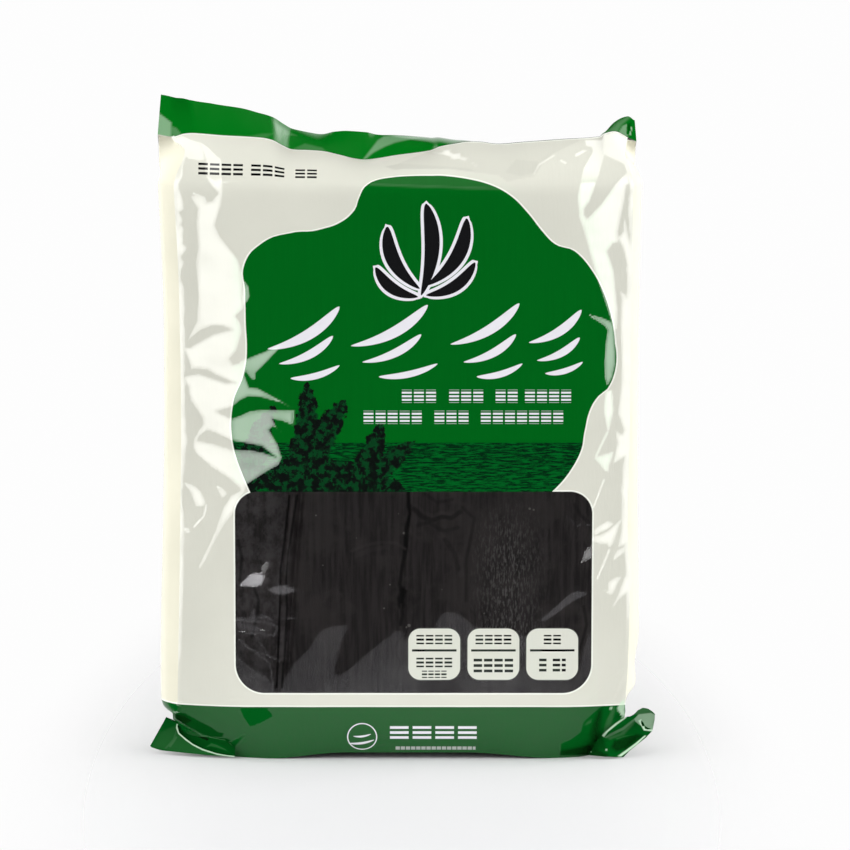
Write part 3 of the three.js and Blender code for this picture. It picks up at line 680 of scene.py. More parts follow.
def blank_tree(owner):
    """The emptied node tree of a material, a light or the world."""
    owner.use_nodes = True
    owner.node_tree.nodes.clear()
    return Wire(owner.node_tree)


def parts(vector):
    """The three numbers of a vector."""
    split = vector.tree.nodes.new("ShaderNodeSeparateXYZ")
    vector.tree.links.new(vector.socket, split.inputs[0])
    return [Wire(vector.tree, number) for number in split.outputs]


def flecks(wire, x, z, across, along, detail, roughness=0.5):
    """Cloudy noise, with so many swells to a millimetre across and along."""
    return wire.node("ShaderNodeTexNoise", {"noise_dimensions": "2D"},
                     {"Vector": wire.node("ShaderNodeCombineXYZ", {}, {0: x * across, 1: z * along}),
                      "Scale": 1.0, "Detail": detail, "Roughness": roughness})


def ink(distance, edge=0.12):
    """How much of a print shows: 1 inside an outline, 0 outside it, with a soft edge in millimetres."""
    return distance.node("ShaderNodeMapRange", {"interpolation_type": "SMOOTHSTEP"},
                         {"Value": distance, "From Min": edge, "From Max": -edge})


def box(x, z, centre, half, corner):
    """Signed distance to a rounded box."""
    qx, qz = abs(x - centre[0]) - (half[0] - corner), abs(z - centre[1]) - (half[1] - corner)
    outside = (most(qx, 0) ** 2 + most(qz, 0) ** 2) ** 0.5
    return outside + least(most(qx, qz), 0) - corner


def window_distance(x, z):
    """Signed distance to the window. It is two boxes, because its upper and lower corners differ."""
    w = WINDOW
    middle_x, half_x = (w["left"] + w["right"]) / 2, (w["right"] - w["left"]) / 2
    middle_z, half_z = (w["bottom"] + w["top"]) / 2, (w["top"] - w["bottom"]) / 2
    reach = half_z / 2
    upper = box(x, z, (middle_x, middle_z + reach / 2), (half_x, half_z - reach / 2), w["corner_top"])
    lower = box(x, z, (middle_x, middle_z - reach / 2), (half_x, half_z - reach / 2), w["corner_bottom"])
    return least(upper, lower)


def stroke(x, z, start, end, width, bend=0.0, skew=0.0):
    """Signed distance, roughly, to a brush stroke that tapers to both ends and bows sideways by bend."""
    (x0, z0), (x1, z1) = start, end
    length = math.hypot(x1 - x0, z1 - z0)
    ux, uz = (x1 - x0) / length, (z1 - z0) / length
    mx, mz = (x0 + x1) / 2, (z0 + z1) / 2
    along = ((x - mx) * ux + (z - mz) * uz) * (2 / length)
    sideways = (z - mz) * ux - (x - mx) * uz
    room = most(1 - along * along, 0)
    half = room ** 0.6 * (width / 2) * (1 + along * skew)
    return abs(sideways - room * bend) - half + most(abs(along) - 1, 0) * (length / 2)


def blend(wire, factor, a, b):
    def colour(value):
        return value if isinstance(value, Wire) else (*value, 1)
    return wire.node("ShaderNodeMix", {"data_type": "RGBA"}, {0: factor, 6: colour(a), 7: colour(b)}, out=2)


def uneven(wire, factor, colour, low, high):
    """A colour that varies between two shares of its strength."""
    return blend(wire, factor, tuple(c * low for c in colour), tuple(c * high for c in colour))


IVORY = (0.665, 0.665, 0.585)
# The ivory of the sides, back, fin and ears is painted lighter and yellower than the face's, for the light on
# the sides.
IVORY_PAINTED_LIGHTER = (0.72, 0.7, 0.57)
KEYLINE = (0.84, 0.86, 0.78)
DEEP_GREEN = (0.0003, 0.111, 0.0088)
BAND_GREEN = (0.0004, 0.148, 0.0082)
# The foot band's green is the top band's painted darker, as shade where the foot turns down.
FOOT_GREEN_PAINTED_SHADE = (0.0006, 0.082, 0.009)
INK_BLACK = (0.008, 0.008, 0.009)
INK_WHITE = (0.78, 0.77, 0.82)

# The lobed field: its edge's distance from its middle, by the angle round it in degrees.
FIELD_CENTRE = (15, 260)
FIELD_EDGE = [
    (0, 116), (13, 113.7), (24, 110.9), (32, 107.2), (39, 99.2), (44, 98.9), (52, 101.3), (60, 104.2),
    (66, 105), (79, 104), (92, 104.8), (101, 106.2), (106.5, 106.6), (111, 103.5), (114.5, 98.5),
    (119, 92.3), (124, 91), (132, 95), (140, 106.4), (149, 118.4), (155, 121.4), (164, 115), (173, 111.2),
    (182, 109.8), (188, 112.2), (197, 123.8), (208, 134.5), (217, 139.6), (235, 150), (290, 150),
    (305.5, 121.3), (317.5, 118.5), (325.5, 115.6), (331.5, 111), (338.5, 108.5), (343, 110.5),
    (346.5, 115.2), (353, 117.4)]


def field_distance(x, z):
    """Signed distance, roughly, to the lobed field: a closed curve of radius against angle."""
    dx, dz = x - FIELD_CENTRE[0], z - FIELD_CENTRE[1]
    angle = dz.math("ARCTAN2", dz, dx) / (2 * math.pi)
    angle = angle.math("FRACT", angle)
    curve = angle.tree.nodes.new("ShaderNodeFloatCurve")
    points = curve.mapping.curves[0].points
    knots = [(a / 360, r / 200) for a, r in FIELD_EDGE] + [(1, FIELD_EDGE[0][1] / 200)]
    for place, value in knots[1:-1]:
        points.new(place, value)
    points[0].location, points[-1].location = knots[0], knots[-1]
    curve.mapping.update()
    angle.tree.links.new(angle.socket, curve.inputs["Value"])
    radius = Wire(angle.tree, curve.outputs["Value"]) * 200
    return (dx ** 2 + dz ** 2) ** 0.5 - radius


def words(wire, x, z, colour, at, height, spans, cell, line, ink_colour):
    """A row of plain striped tiles that stands in for words."""
    row = None
    for start, end in spans:
        gap = (x - start).math("PINGPONG", x - start, cell / 2)
        word = most(abs(x - (start + end) / 2) - (end - start) / 2, 0.09 * cell - gap)
        row = word if row is None else least(row, word)
    stripe = z.math("PINGPONG", z - at, line / 2)
    tile = most(most(row, abs(z - at) - height / 2), stripe - line * 0.26)
    return blend(wire, ink(tile), colour, ink_colour)


def drawn(x, z, strokes):
    """Signed distance to several brush strokes: the ends, width, bend and skew of each."""
    shape = None
    for each in strokes:
        one = stroke(x, z, *each)
        shape = one if shape is None else least(shape, one)
    return shape


SEA = dict(light=(0.0006, 0.105, 0.014), dark=(0.001, 0.022, 0.006), horizon=199.3)
WEED_LIGHT, WEED_DARK = (0.003, 0.045, 0.012), (0.004, 0.006, 0.005)
WEED = [
    ((-92, 160), (-78, 222), 15, 6), ((-76, 158), (-58, 236), 17, -7), ((-60, 160), (-34, 226), 17, 5),
    ((-46, 158), (-12, 212), 15, -6), ((-26, 160), (8, 200), 13, 4), ((-96, 178), (4, 168), 26, 3),
]
CRESTS = [
    ((-82, 257), (-38, 283), 6.5, -5, 0.3), ((-75, 248), (-42, 265), 5, -3.5, 0.3),
    ((-68, 239), (-38, 247), 4, -2.5),
    ((-31, 259), (16, 284), 6.5, -5, 0.3), ((-24, 249), (12, 266), 5, -3.5, 0.3),
    ((-14, 240), (22, 248), 4, -2.5),
    ((30, 260), (72, 285), 6, -4.5, 0.3), ((38, 249), (70, 266), 5, -3.5, 0.3),
    ((46, 240), (74, 248), 4, -2.5),
    ((78, 261), (110, 281), 5.5, -4, 0.3), ((83, 250), (109, 264), 4.5, -3, 0.3),
    ((88, 242), (111, 249), 3.5, -2),
]
EMBLEM = [
    ((12, 290), (15, 346), 9, -5, 0.3), ((11, 294), (-9, 332), 8.5, 6, 0.3),
    ((15, 296), (40, 337), 8.5, -7, 0.3),
    ((10, 289), (-16, 307), 7, 4.5, 0.2), ((15, 290), (45, 310), 7, -5, 0.2),
]
KEYLINE_WIDTH = 1.0
EMBLEM_EDGE = 1.9


def field_colour(wire, x, z):
    """The green field with its sea, weed, crests of waves, emblem and rows of tiles."""
    green = uneven(wire, flecks(wire, x, z, 0.9, 0.02, 2.0), DEEP_GREEN, 0.94, 1.07)

    # The sea at the field's foot: a dark body with streaks of swell that thin out towards the horizon.
    ripples = flecks(wire, x, z, 0.11, 0.95, 7.0, 0.75)
    swell_lines = ink(ripples - (0.528 - (199 - z) * 0.0012), 0.05)
    sea = blend(wire, swell_lines, SEA["light"], SEA["dark"])
    green = blend(wire, ink(z - SEA["horizon"], 0.4), green, sea)

    # Broad fronds of weed that rise from the left foot of the field, dark against the sea.
    wobble = flecks(wire, x, z, 0.2, 0.2, 6.0, 0.65)
    weed = drawn(x, z, WEED) + (wobble - 0.5) * 9
    leafy = blend(wire, ink(wobble - 0.52, 0.07), WEED_LIGHT, WEED_DARK)
    green = blend(wire, ink(weed, 0.5), green, leafy)

    # Brushed crests of waves in white, and above them a frond emblem of black blades with a white edge.
    green = blend(wire, ink(drawn(x, z, CRESTS)), green, INK_WHITE)
    emblem = drawn(x, z, EMBLEM)
    green = blend(wire, ink(emblem - EMBLEM_EDGE), green, INK_WHITE)
    green = blend(wire, ink(emblem), green, INK_BLACK)
    for at, spans in ((228, [(-0.5, 21.7), (28.5, 50.7), (57, 71.8), (75, 104.6)]),
                      (215, [(-24, 13), (19.5, 41.7), (48, 99.8)])):
        green = words(wire, x, z, green, at, 8, spans, 7.4, 2.2, INK_WHITE)
    return green


def print_colour(wire, x, z):
    """The colours of the printed film over the flat face, and the signed distance to the window."""
    field = field_distance(x, z)
    window = window_distance(x, z)
    colour = uneven(wire, flecks(wire, x, z, 0.02, 0.02, 3.0), IVORY, 0.96, 1.04)
    colour = blend(wire, ink(field - KEYLINE_WIDTH), colour, KEYLINE)
    colour = blend(wire, ink(field), colour, field_colour(wire, x, z))
    colour = words(wire, x, z, colour, 366, 7.6, [(-125, -96.2), (-92.5, -70.9), (-65.5, -51.1)], 7.2, 2.7,
                   INK_BLACK)
    return blend(wire, ink(window - KEYLINE_WIDTH) * (1 - ink(field)), colour, KEYLINE), window


FOOT_BAND = 34.2
TOP_BAND = float(flat_height[-1])


def band_colour(wire, z, colour):
    """The green bands across the foot and the top of the film, each with its keyline. The foot's is painted
    darker, as shade where it turns down.
    """
    for band, tone in ((z - FOOT_BAND, FOOT_GREEN_PAINTED_SHADE), (TOP_BAND - z, BAND_GREEN)):
        colour = blend(wire, ink(band - 0.9), colour, KEYLINE)
        colour = blend(wire, ink(band), colour, tone)
    return colour


def foot_marks(wire, x, z, colour):
    """A plain ring with two swells in it, and striped tiles, in white on the foot band."""
    reach = ((x + 24.5) ** 2 + (z - 14.5) ** 2) ** 0.5
    swells = drawn(x, z, [((-33, 10), (-17, 12.5), 1.6, -1.2), ((-30, 15), (-19, 16.5), 1.3, -0.9)])
    colour = blend(wire, ink(least(abs(reach - 9) - 0.35, swells)), colour, INK_WHITE)
    colour = words(wire, x, z, colour, 17.5, 9, [(-8.5, 47.9)], 14.1, 3.4, INK_WHITE)
    return words(wire, x, z, colour, 6.4, 2.4, [(-4, 46)], 3.2, 5, (0.4, 0.42, 0.4))


def flat_place(wire):
    """Where a point lies on the flat film, in millimetres across and up."""
    across, up, _ = parts(wire.node("ShaderNodeUVMap", {"uv_map": "flat"}))
    return (across - 0.5) * 1000, up * 1000


GLOSS = dict(roughness=0.06, index=1.5)
# The colours of painted highlights and painted shade on the film.
PAINTED_HIGHLIGHT_COLOUR, PAINTED_SHADE_COLOUR = (0.62, 0.85, 0.62), (0.002, 0.004, 0.001)


def film_bump(wire, x, z):
    """The film's own fine unevenness: a faint grain up the web and soft dimples."""
    return wire.node("ShaderNodeBump", {}, {"Strength": 0.25, "Distance": 0.0002,
                                            "Height": flecks(wire, x, z, 0.5, 0.12, 3.0)})


def printed(wire, colour, bump):
    """Printed film with painted light: where it is folded its colour is painted paler as a highlight or
    darker as shade.
    """
    painted_light = wire.node("ShaderNodeAttribute", {"attribute_name": "painted_light"}, out=2)
    colour = blend(wire, most(painted_light, 0), colour, PAINTED_HIGHLIGHT_COLOUR)
    colour = blend(wire, most(-painted_light, 0), colour, PAINTED_SHADE_COLOUR)
    return wire.node("ShaderNodeBsdfPrincipled", {}, {"Base Color": colour, "Roughness": GLOSS["roughness"],
                                                      "IOR": GLOSS["index"], "Normal": bump})


def film_material(name, colours):
    """Glossy film that is printed all over with the colours of a function."""
    material = bpy.data.materials.new(name)
    wire = blank_tree(material)
    x, z = flat_place(wire)
    shader = printed(wire, colours(wire, x, z), film_bump(wire, x, z))
    wire.node("ShaderNodeOutputMaterial", {}, {"Surface": shader})
    return material


def face_colours(wire, x, z):
    colour, _ = print_colour(wire, x, z)
    return foot_marks(wire, x, z, band_colour(wire, z, colour))


face_print = film_material("face_print", face_colours)
below = slice(0, top_row + 1)
face_piece("film_face_top", slice(top_row, None), slice(None), face_print)
face_piece("film_face_left", below, slice(0, left_column + 1), face_print)
face_piece("film_face_right", below, slice(right_column, None), face_print)
face_piece("film_face_foot", slice(0, foot_row + 1), panel_columns, face_print)

# ---------------------------------------------------------------------------------------------
# The window. The film is left clear there, so that the kelp shows, with three printed labels along its foot.
# Clear film mirrors the soft boxes as the print does, and where it lifts off the kelp a pale veil is painted
# in place of reflections.

LABEL_PALE = (0.665, 0.675, 0.6)
LABEL_MIDDLES = (20.2, 56.8, 93.2)
LABEL_HEIGHT = 67.4
LABEL_HALF = (16, 16.1)
LABEL_CORNER = 7.5
LABEL_EDGE = 0.4
# The rows of tiles on the labels: place up, height, spans across, and the sizes of a tile and of a stripe.
LABEL_ROWS = [
    (76.6, 5.8, [(8.6, 31.8), (45.2, 68.4), (87.4, 99)], 5.8, 2.6),
    (62.2, 6, [(8.6, 31.8)], 5.8, 2.6), (54.8, 4.6, [(12.2, 28.2)], 4, 2.2),
    (60.3, 9.5, [(44, 69.6)], 6.4, 3.4), (60.6, 8.6, [(84.6, 90.2), (93, 101.6)], 5.6, 3.2),
]
CLEAR_FILM = (0.93, 0.93, 0.93, 1)
PAINTED_VEIL_COLOUR = (0.8, 0.78, 0.82, 1)


def label_colour(wire, x, z, labels):
    """The labels' print: pale, with a rule across and rows of striped tiles."""
    rule = box(x, z, (56.8, 69.8), (50.5, 0.7), 0.3)
    pale = blend(wire, ink(rule) * ink(labels + 2.2), LABEL_PALE, INK_BLACK)
    for at, height, spans, cell, line in LABEL_ROWS:
        pale = words(wire, x, z, pale, at, height, spans, cell, line, INK_BLACK)
    return pale


window_material = bpy.data.materials.new("window_film")
wire = blank_tree(window_material)
x, z = flat_place(wire)
colour, window = print_colour(wire, x, z)
labels = None
for middle_x in LABEL_MIDDLES:
    shape = box(x, z, (middle_x, LABEL_HEIGHT), LABEL_HALF, LABEL_CORNER)
    labels = shape if labels is None else least(labels, shape)
colour = blend(wire, ink(labels), colour, label_colour(wire, x, z, labels))
colour = blend(wire, ink(labels - LABEL_EDGE) * (1 - ink(labels)), colour, INK_BLACK)
bump = film_bump(wire, x, z)
paint = printed(wire, colour, bump)
see = wire.node("ShaderNodeBsdfTransparent", {}, {"Color": CLEAR_FILM})
gloss = wire.node("ShaderNodeBsdfGlossy", {}, {"Roughness": 0.05, "Normal": bump})
sheen = wire.node("ShaderNodeFresnel", {}, {"IOR": GLOSS["index"], "Normal": bump})
glass = wire.node("ShaderNodeMixShader", {}, {0: sheen, 1: see, 2: gloss})
# A painted veil: a pale diffuse film, in place of reflections, where the film lifts off the kelp.
painted_veil = wire.node("ShaderNodeAttribute", {"attribute_name": "painted_light"}, out=2)
glass = wire.node("ShaderNodeMixShader", {},
                  {0: painted_veil, 1: glass, 2: wire.node("ShaderNodeBsdfDiffuse", {}, {"Color": PAINTED_VEIL_COLOUR})})
clear = ink(window) * (1 - ink(labels - LABEL_EDGE))
surface = wire.node("ShaderNodeMixShader", {}, {0: clear, 1: paint, 2: glass})
wire.node("ShaderNodeOutputMaterial", {}, {"Surface": surface})
face_piece("window_panel", panel_rows, panel_columns, window_material)

# ---------------------------------------------------------------------------------------------
# The gussets and the back. The tube of film goes on round both sides, where it has a fold up the middle, and
# over the back. They are printed in one with the face: the bands, and on the back a field and two panels.


def gusset_rows(side, sign, turns):
    """The side of the pack between the edges of the face and the back, with the gusset's middle fold."""
    rows = []
    column = 0 if sign < 0 else -1
    for j, (kind, place) in enumerate(ROWS):
        fold = (block_side if kind == "block" else shoulder_side)(side, place)[1]
        a, b = face[j, column], back[j, column]
        bow = fold - (abs(a[0]) + abs(b[0])) / 2
        bend = 2 if kind == "block" else mix(2, 1.3, place)
        point = a[None, :] * (1 - turns[:, None]) + b[None, :] * turns[:, None]
        point[:, 0] += sign * bow * (1 - np.abs(2 * turns - 1) ** bend)
        rows.append(point)
    return np.array(rows)


TURNS = np.linspace(0, 1, 33)
left_side = gusset_rows(LEFT, -1, TURNS)
right_side = gusset_rows(RIGHT, 1, TURNS)
wrap = np.concatenate([right_side[:, :-1], back[:, ::-1], left_side[:, ::-1][:, 1:]], 1)
back_start = right_side.shape[1] - 1
back_end = back_start + len(SHARES)

# Its place across on the flat film is measured along one level row.
WRAP_ROW = 150
wrap_steps = np.linalg.norm(np.diff(wrap[WRAP_ROW], axis=0), axis=1)
wrap_u = np.concatenate([[0], np.cumsum(wrap_steps)])[None, :]
wrap_u = wrap_u - wrap_u.mean()
wrap_uv = np.stack([np.repeat(wrap_u, len(ROWS), 0), np.repeat(flat_height[:, None], wrap.shape[1], 1)], 2)

# The foot's folds, with their painted light and shade, reach round to the gussets, up to this depth.
FOLD_DEPTH = 6
wrap_normal = grid_normals(wrap)
wrap_normal *= np.sign((wrap_normal[:, :, :2] * wrap[:, :, :2]).sum())
wrap_normal[:, back_start:back_end] = back_normal[:, ::-1]
wrap_normal, wrap_painted_light = folded(wrap, wrap_normal, np.zeros(wrap.shape[:2]), FOOT_FOLDS,
                                where=wrap[:, :, 1] < FOLD_DEPTH)

BACK_CRESTS = [((-95, 283), (-50, 305), 7, -5, 0.3), ((-40, 283), (8, 306), 7, -5, 0.3),
               ((20, 283), (62, 304), 7, -5, 0.3)]
# The rows of tiles in the two panels: each row's height and its spans across.
BACK_ROWS = [
    (214, [(-118, -84), (-76, -34)]), (196, [(-118, -62), (-56, -34)]), (178, [(-118, -92), (-86, -50)]),
    (160, [(-118, -46)]), (142, [(-118, -78), (-70, -34)]), (124, [(-118, -60)]),
    (106, [(-118, -98), (-92, -40)]), (88, [(-118, -66)]),
    (172, [(28, 62), (70, 118)]), (154, [(28, 92)]), (136, [(28, 54), (62, 110)]),
    (118, [(28, 100)]), (100, [(28, 76), (84, 118)]), (82, [(28, 66)]),
]


def plain_colours(wire, x, z):
    """Ivory film, painted lighter and yellower than the face's for the light on the sides, with the two
    bands.
    """
    ivory = uneven(wire, flecks(wire, x, z, 0.02, 0.02, 3.0), IVORY_PAINTED_LIGHTER, 0.95, 1.05)
    return band_colour(wire, z, ivory)


def back_colours(wire, x, z):
    """The back's plain print: a small field, two ruled panels and their rows of striped tiles."""
    frames = least(abs(box(x, z, (-73, 150), (52, 88), 5)), abs(box(x, z, (73, 130), (52, 68), 5))) - 0.35
    heads = least(box(x, z, (-73, 230), (48, 5), 2.5), box(x, z, (73, 190), (48, 5), 2.5))
    field = box(x, z, (0, 293), (120, 34), 30)
    colour = blend(wire, ink(least(least(frames, heads), field)), plain_colours(wire, x, z), DEEP_GREEN)
    colour = blend(wire, ink(drawn(x, z, BACK_CRESTS)), colour, INK_WHITE)
    for at, spans in BACK_ROWS:
        colour = words(wire, x, z, colour, at, 4.6, spans, 5.2, 1.9, INK_BLACK)
    return colour


back_print = film_material("back_print", back_colours)
for name, columns in (("gusset_right", slice(0, back_start + 1)), ("film_back", slice(back_start, back_end)),
                      ("gusset_left", slice(back_end - 1, None))):
    piece = grid_mesh(name, wrap[:, columns], wrap_uv[:, columns], normals=wrap_normal[:, columns],
                      painted_light=wrap_painted_light[:, columns])
    is_film(piece, back_print)

# ---------------------------------------------------------------------------------------------
# The long seam. Both edges of the film are sealed together to close the tube, and the strip is laid flat up
# the middle of the back.

SEAM_HALF = 7
SEAM_CLEAR = 0.25
SEAM_THICK = 0.7
OFF_THE_PRINT = 400
seam_rows = range(8, len(ROWS) - 4)
seam_across = np.linspace(-1, 1, 15)


def on_back(row, x):
    """The point of the seam's strip at a place across the back. Its left edge lies down on the back."""
    lift = SEAM_CLEAR + SEAM_THICK * (x > -0.95 * SEAM_HALF)
    return x, np.interp(x, row[:, 0], row[:, 1]) + lift, np.interp(x, row[:, 0], row[:, 2])


seam = np.array([[on_back(back[j], SEAM_HALF * k) for k in seam_across] for j in seam_rows])
seam_uv = np.stack([seam[:, :, 0] + OFF_THE_PRINT,
                    np.repeat(flat_height[list(seam_rows)][:, None], len(seam_across), 1)], 2)
is_film(grid_mesh("back_seam", seam, seam_uv, flip=True), back_print)

# ---------------------------------------------------------------------------------------------
# The top fin. Front and back film are welded to each other across the top and cut off straight. It leans
# back, more towards the middle of the pack. Its corners face forwards.

# Painted sheen on the fin: paler places in place of reflected light, as FOOT_FOLDS, with the painted light
# alone in use.

FIN_PAINTED_SHEENS = [
    (0, 0, 0.07, 0.8, [(-80.9, 397.5), (-76.9, 393.4), (-70.3, 389.4), (-65.1, 386.9), (-72.5, 386.9),
     (-70, 380.4), (-70, 377.9), (-75, 380.4), (-77.5, 389.4)]),
    (0, 0, 0.05, 0.8, [(-105.5, 386.9), (-94.3, 386.5), (-87, 388.1), (-79.5, 388.1), (-84.5, 385.6),
     (-91, 385)]),
    (0, 0, 0.07, 0.8, [(-69, 378), (-60.1, 381.9), (-49.5, 379.4), (-44, 374.4), (-52, 376.5),
     (-63, 377.6)]),
    (0, 0, 0.22, 0.8, [(-24, 372), (-14.7, 384), (-10.9, 386.5), (-4.1, 387), (14.6, 385.5), (5, 384.5),
     (-4.1, 382.5), (-10.5, 380), (-17.2, 376.5), (-22.1, 372.6)]),
]
# At its corners the fin is turned as well as painted with highlights and shade.
CORNER_FOLDS = [
    (-0.02, 0.25, 0, 3, [(-156, 380), (-156, 416), (-132, 412), (-128, 386)]),
    (-0.02, 0.25, 0.32, 0.5, [(-152.1, 401.8), (-143.2, 395), (-143.5, 384), (-152.5, 384)]),
    (-0.02, 0.25, 0.12, 0.4, [(-142.8, 392.5), (-140.3, 391.9), (-137.2, 388.1), (-138.5, 385.6),
     (-142.8, 387.5)]),
    (0.02, 0.25, 0, 1.5, [(126, 380), (126, 389), (134, 400), (150, 402), (150, 376)]),
    (0.02, 0.25, 0.14, 1.2, [(125.5, 387.5), (134.2, 395.4), (140, 398.5), (143, 399), (136.7, 393.3),
     (134.2, 388.8)]),
    (0.02, 0.25, 0.3, 0.5, [(135, 388.8), (137.5, 392.9), (140.8, 394.5), (140, 391.7), (140.8, 384.6)]),
    (0.02, 0.25, -0.6, 0.4, [(140.8, 394.5), (142.5, 394.9), (142, 388.8), (140.4, 388)]),
    (0.02, 0.25, 0.6, 0.3, [(142.7, 392.5), (143.4, 392.5), (142.3, 387.1), (141.5, 387.5)]),
]
fin_x = np.linspace(-LEFT["fin"], RIGHT["fin"], 330)
fin_up = np.linspace(0, 1, 30)[:, None]

RIGHT_CORNER = dict(start=139.5, width=5, drop=0.16)
LEFT_EDGE = dict(start=-134, width=16, slope=1.8)


def fin_layer(sign):
    """One layer: it curls back as it rises, its left edge slopes in and its right corner is rounded."""
    lean = np.radians(seal_lean(fin_x)[None, :] + seal_curl(fin_x)[None, :] * (fin_up * 2 - 1) / 2)
    middle = (lean[1:] + lean[:-1]) / 2
    cut = RIGHT_CORNER["drop"] * ease((fin_x - RIGHT_CORNER["start"]) / RIGHT_CORNER["width"]) ** 2
    height = FIN_HEIGHT * (1 - cut)[None, :]
    run, rise = (np.concatenate([0 * fin_x[None, :], np.cumsum(part, axis=0)]) * height / (len(fin_up) - 1)
                 for part in (np.sin(middle), np.cos(middle)))
    out = sign * FILM / 2
    slope = LEFT_EDGE["slope"] * fin_up * ease((LEFT_EDGE["start"] - fin_x) / LEFT_EDGE["width"])[None, :]
    return np.stack([fin_x[None, :] + slope, seal_set_back(fin_x) + run + out * np.cos(lean),
                     seal_height(fin_x) + rise - out * np.sin(lean)], 2)


plain_film = film_material("plain_film", plain_colours)
fin_uv = np.stack([np.repeat(fin_x[None, :], len(fin_up), 0),
                   TOP_BAND + np.repeat(fin_up * FIN_HEIGHT, len(fin_x), 1)], 2)
for name, sign in (("fin_front", -1), ("fin_back", 1)):
    layer = fin_layer(sign)
    normal = -sign * grid_normals(layer)
    painted_light = np.zeros(layer.shape[:2])
    if sign < 0:
        painted_light = folded(layer, normal, painted_light, FIN_PAINTED_SHEENS)[1]
        normal, painted_light = folded(layer, normal, painted_light, CORNER_FOLDS)
    is_film(grid_mesh(name, layer, fin_uv, flip=sign > 0, normals=normal, painted_light=painted_light), plain_film)

# ---------------------------------------------------------------------------------------------
# The ears. The gussets' corners are sealed flat at the foot and stick out as stiff flaps of film, two on the
# left, one behind the other, and one on the right. Each lies between an upper and a lower line, given as they
# look from the front with the depth of each point.


def at_depth(seen_x, seen_z, y):
    """The point at a depth y that appears at a place from the front: from_front the other way round."""
    up = seen_z - VIEW_AIM
    rise, flat = math.sin(VIEW_RISE), math.cos(VIEW_RISE)
    z = (up * (VIEW_DISTANCE + y * flat) - VIEW_DISTANCE * y * rise) / (VIEW_DISTANCE * flat + up * rise)
    return seen_x * (VIEW_DISTANCE + y * flat - z * rise) / VIEW_DISTANCE, y, max(VIEW_AIM + z, 0.15)


def along_line(points, shares):
    """Points spread evenly along a line through a few corners, softened a little at each."""
    points = np.array([at_depth(*point) for point in points])
    run = np.concatenate([[0], np.cumsum(np.linalg.norm(np.diff(points, axis=0), axis=1))])
    fine = np.linspace(0, run[-1], 200)
    dense = np.stack([np.interp(fine, run, points[:, k]) for k in range(3)], 1)
    dense[1:-1] = soften(dense, 1.5, 0)[1:-1]
    return np.stack([np.interp(shares * run[-1], fine, dense[:, k]) for k in range(3)], 1)


EAR_RISE = 0.24
EAR_SWELL = 0.05
BAND_MIDDLE = 12


def flap(name, upper, lower, creases, folds, base_painted_light=0.0):
    """A flap between two edges, creased lengthways by (place, depth) pairs, then turned and painted with
    light and shade as the foot is.
    """
    u, v = np.linspace(0, 1, 140), np.linspace(0, 1, 70)
    top, foot = along_line(upper, u), along_line(lower, u)
    points = top[:, None, :] * (1 - v[None, :, None]) + foot[:, None, :] * v[None, :, None]
    fullness = np.sin(np.pi * np.clip(u * 0.9 + 0.1, 0, 1)) ** 0.5
    points[:, :, 1] += np.interp(v, *zip(*creases))[None, :] * fullness[:, None]
    uv = np.stack([points[:, :, 0], np.full(points.shape[:2], float(BAND_MIDDLE))], 2)
    normal = np.zeros(points.shape) + (0, -1, EAR_RISE)
    normal[:, :, 0] += EAR_SWELL * waves(points[:, :, 0], points[:, :, 2], 12, (14, 6))
    normal, painted_light = folded(points, normal, np.full(points.shape[:2], base_painted_light), folds)
    is_film(grid_mesh(name, points, uv, normals=normal, painted_light=painted_light), plain_film)


# The ears' folds, as FOOT_FOLDS: painted highlights along fold lines and painted shade in the pockets.
LEFT_FRONT_FOLDS = [
    (0, 0.24, 0.02, 1.5, [(-155.7, 6.6), (-150, 16), (-140.3, 20.5), (-138.4, 14.7), (-132.6, 9.5),
     (-121, 3.7), (-104.3, 0.5), (-133.9, 1.8)]),
    (0, 0.24, 0, 1, [(-146.4, 24.8), (-138.7, 21.2), (-140.3, 20.1), (-149.3, 16.9)]),
    (0, 0.24, 0.06, 0.5, [(-144.9, 7), (-143.2, 9.5), (-140.3, 13.4), (-139.5, 12.6), (-141.9, 8.8),
     (-143.7, 6.4)]),
    (0, 0.24, 0.05, 0.4, [(-147.4, 5.7), (-142.2, 11.5), (-140.3, 17.2), (-139.9, 16), (-141.6, 10.8),
     (-146.4, 5.4)]),
    (0, 0.24, -0.7, 0.3, [(-146.7, 25.2), (-142.2, 23.5), (-138.5, 21.4), (-138.6, 20.8), (-142.4, 22.8),
     (-146.6, 24.6)]),
    (0, 0.2, 0.85, 0.25, [(-139.9, 21), (-140.3, 18.4), (-138.9, 14.8), (-134.3, 10.7), (-129.8, 7.5),
     (-123.9, 4.5), (-114.6, 1.7), (-108.8, 0.8), (-103.7, 0.1), (-103.7, 1.6), (-108.7, 2.1), (-114.3, 3.2),
     (-123.1, 6.2), (-128.9, 9), (-133.4, 12.2), (-137.9, 16), (-139.2, 18.8), (-138.8, 20.6)]),
]
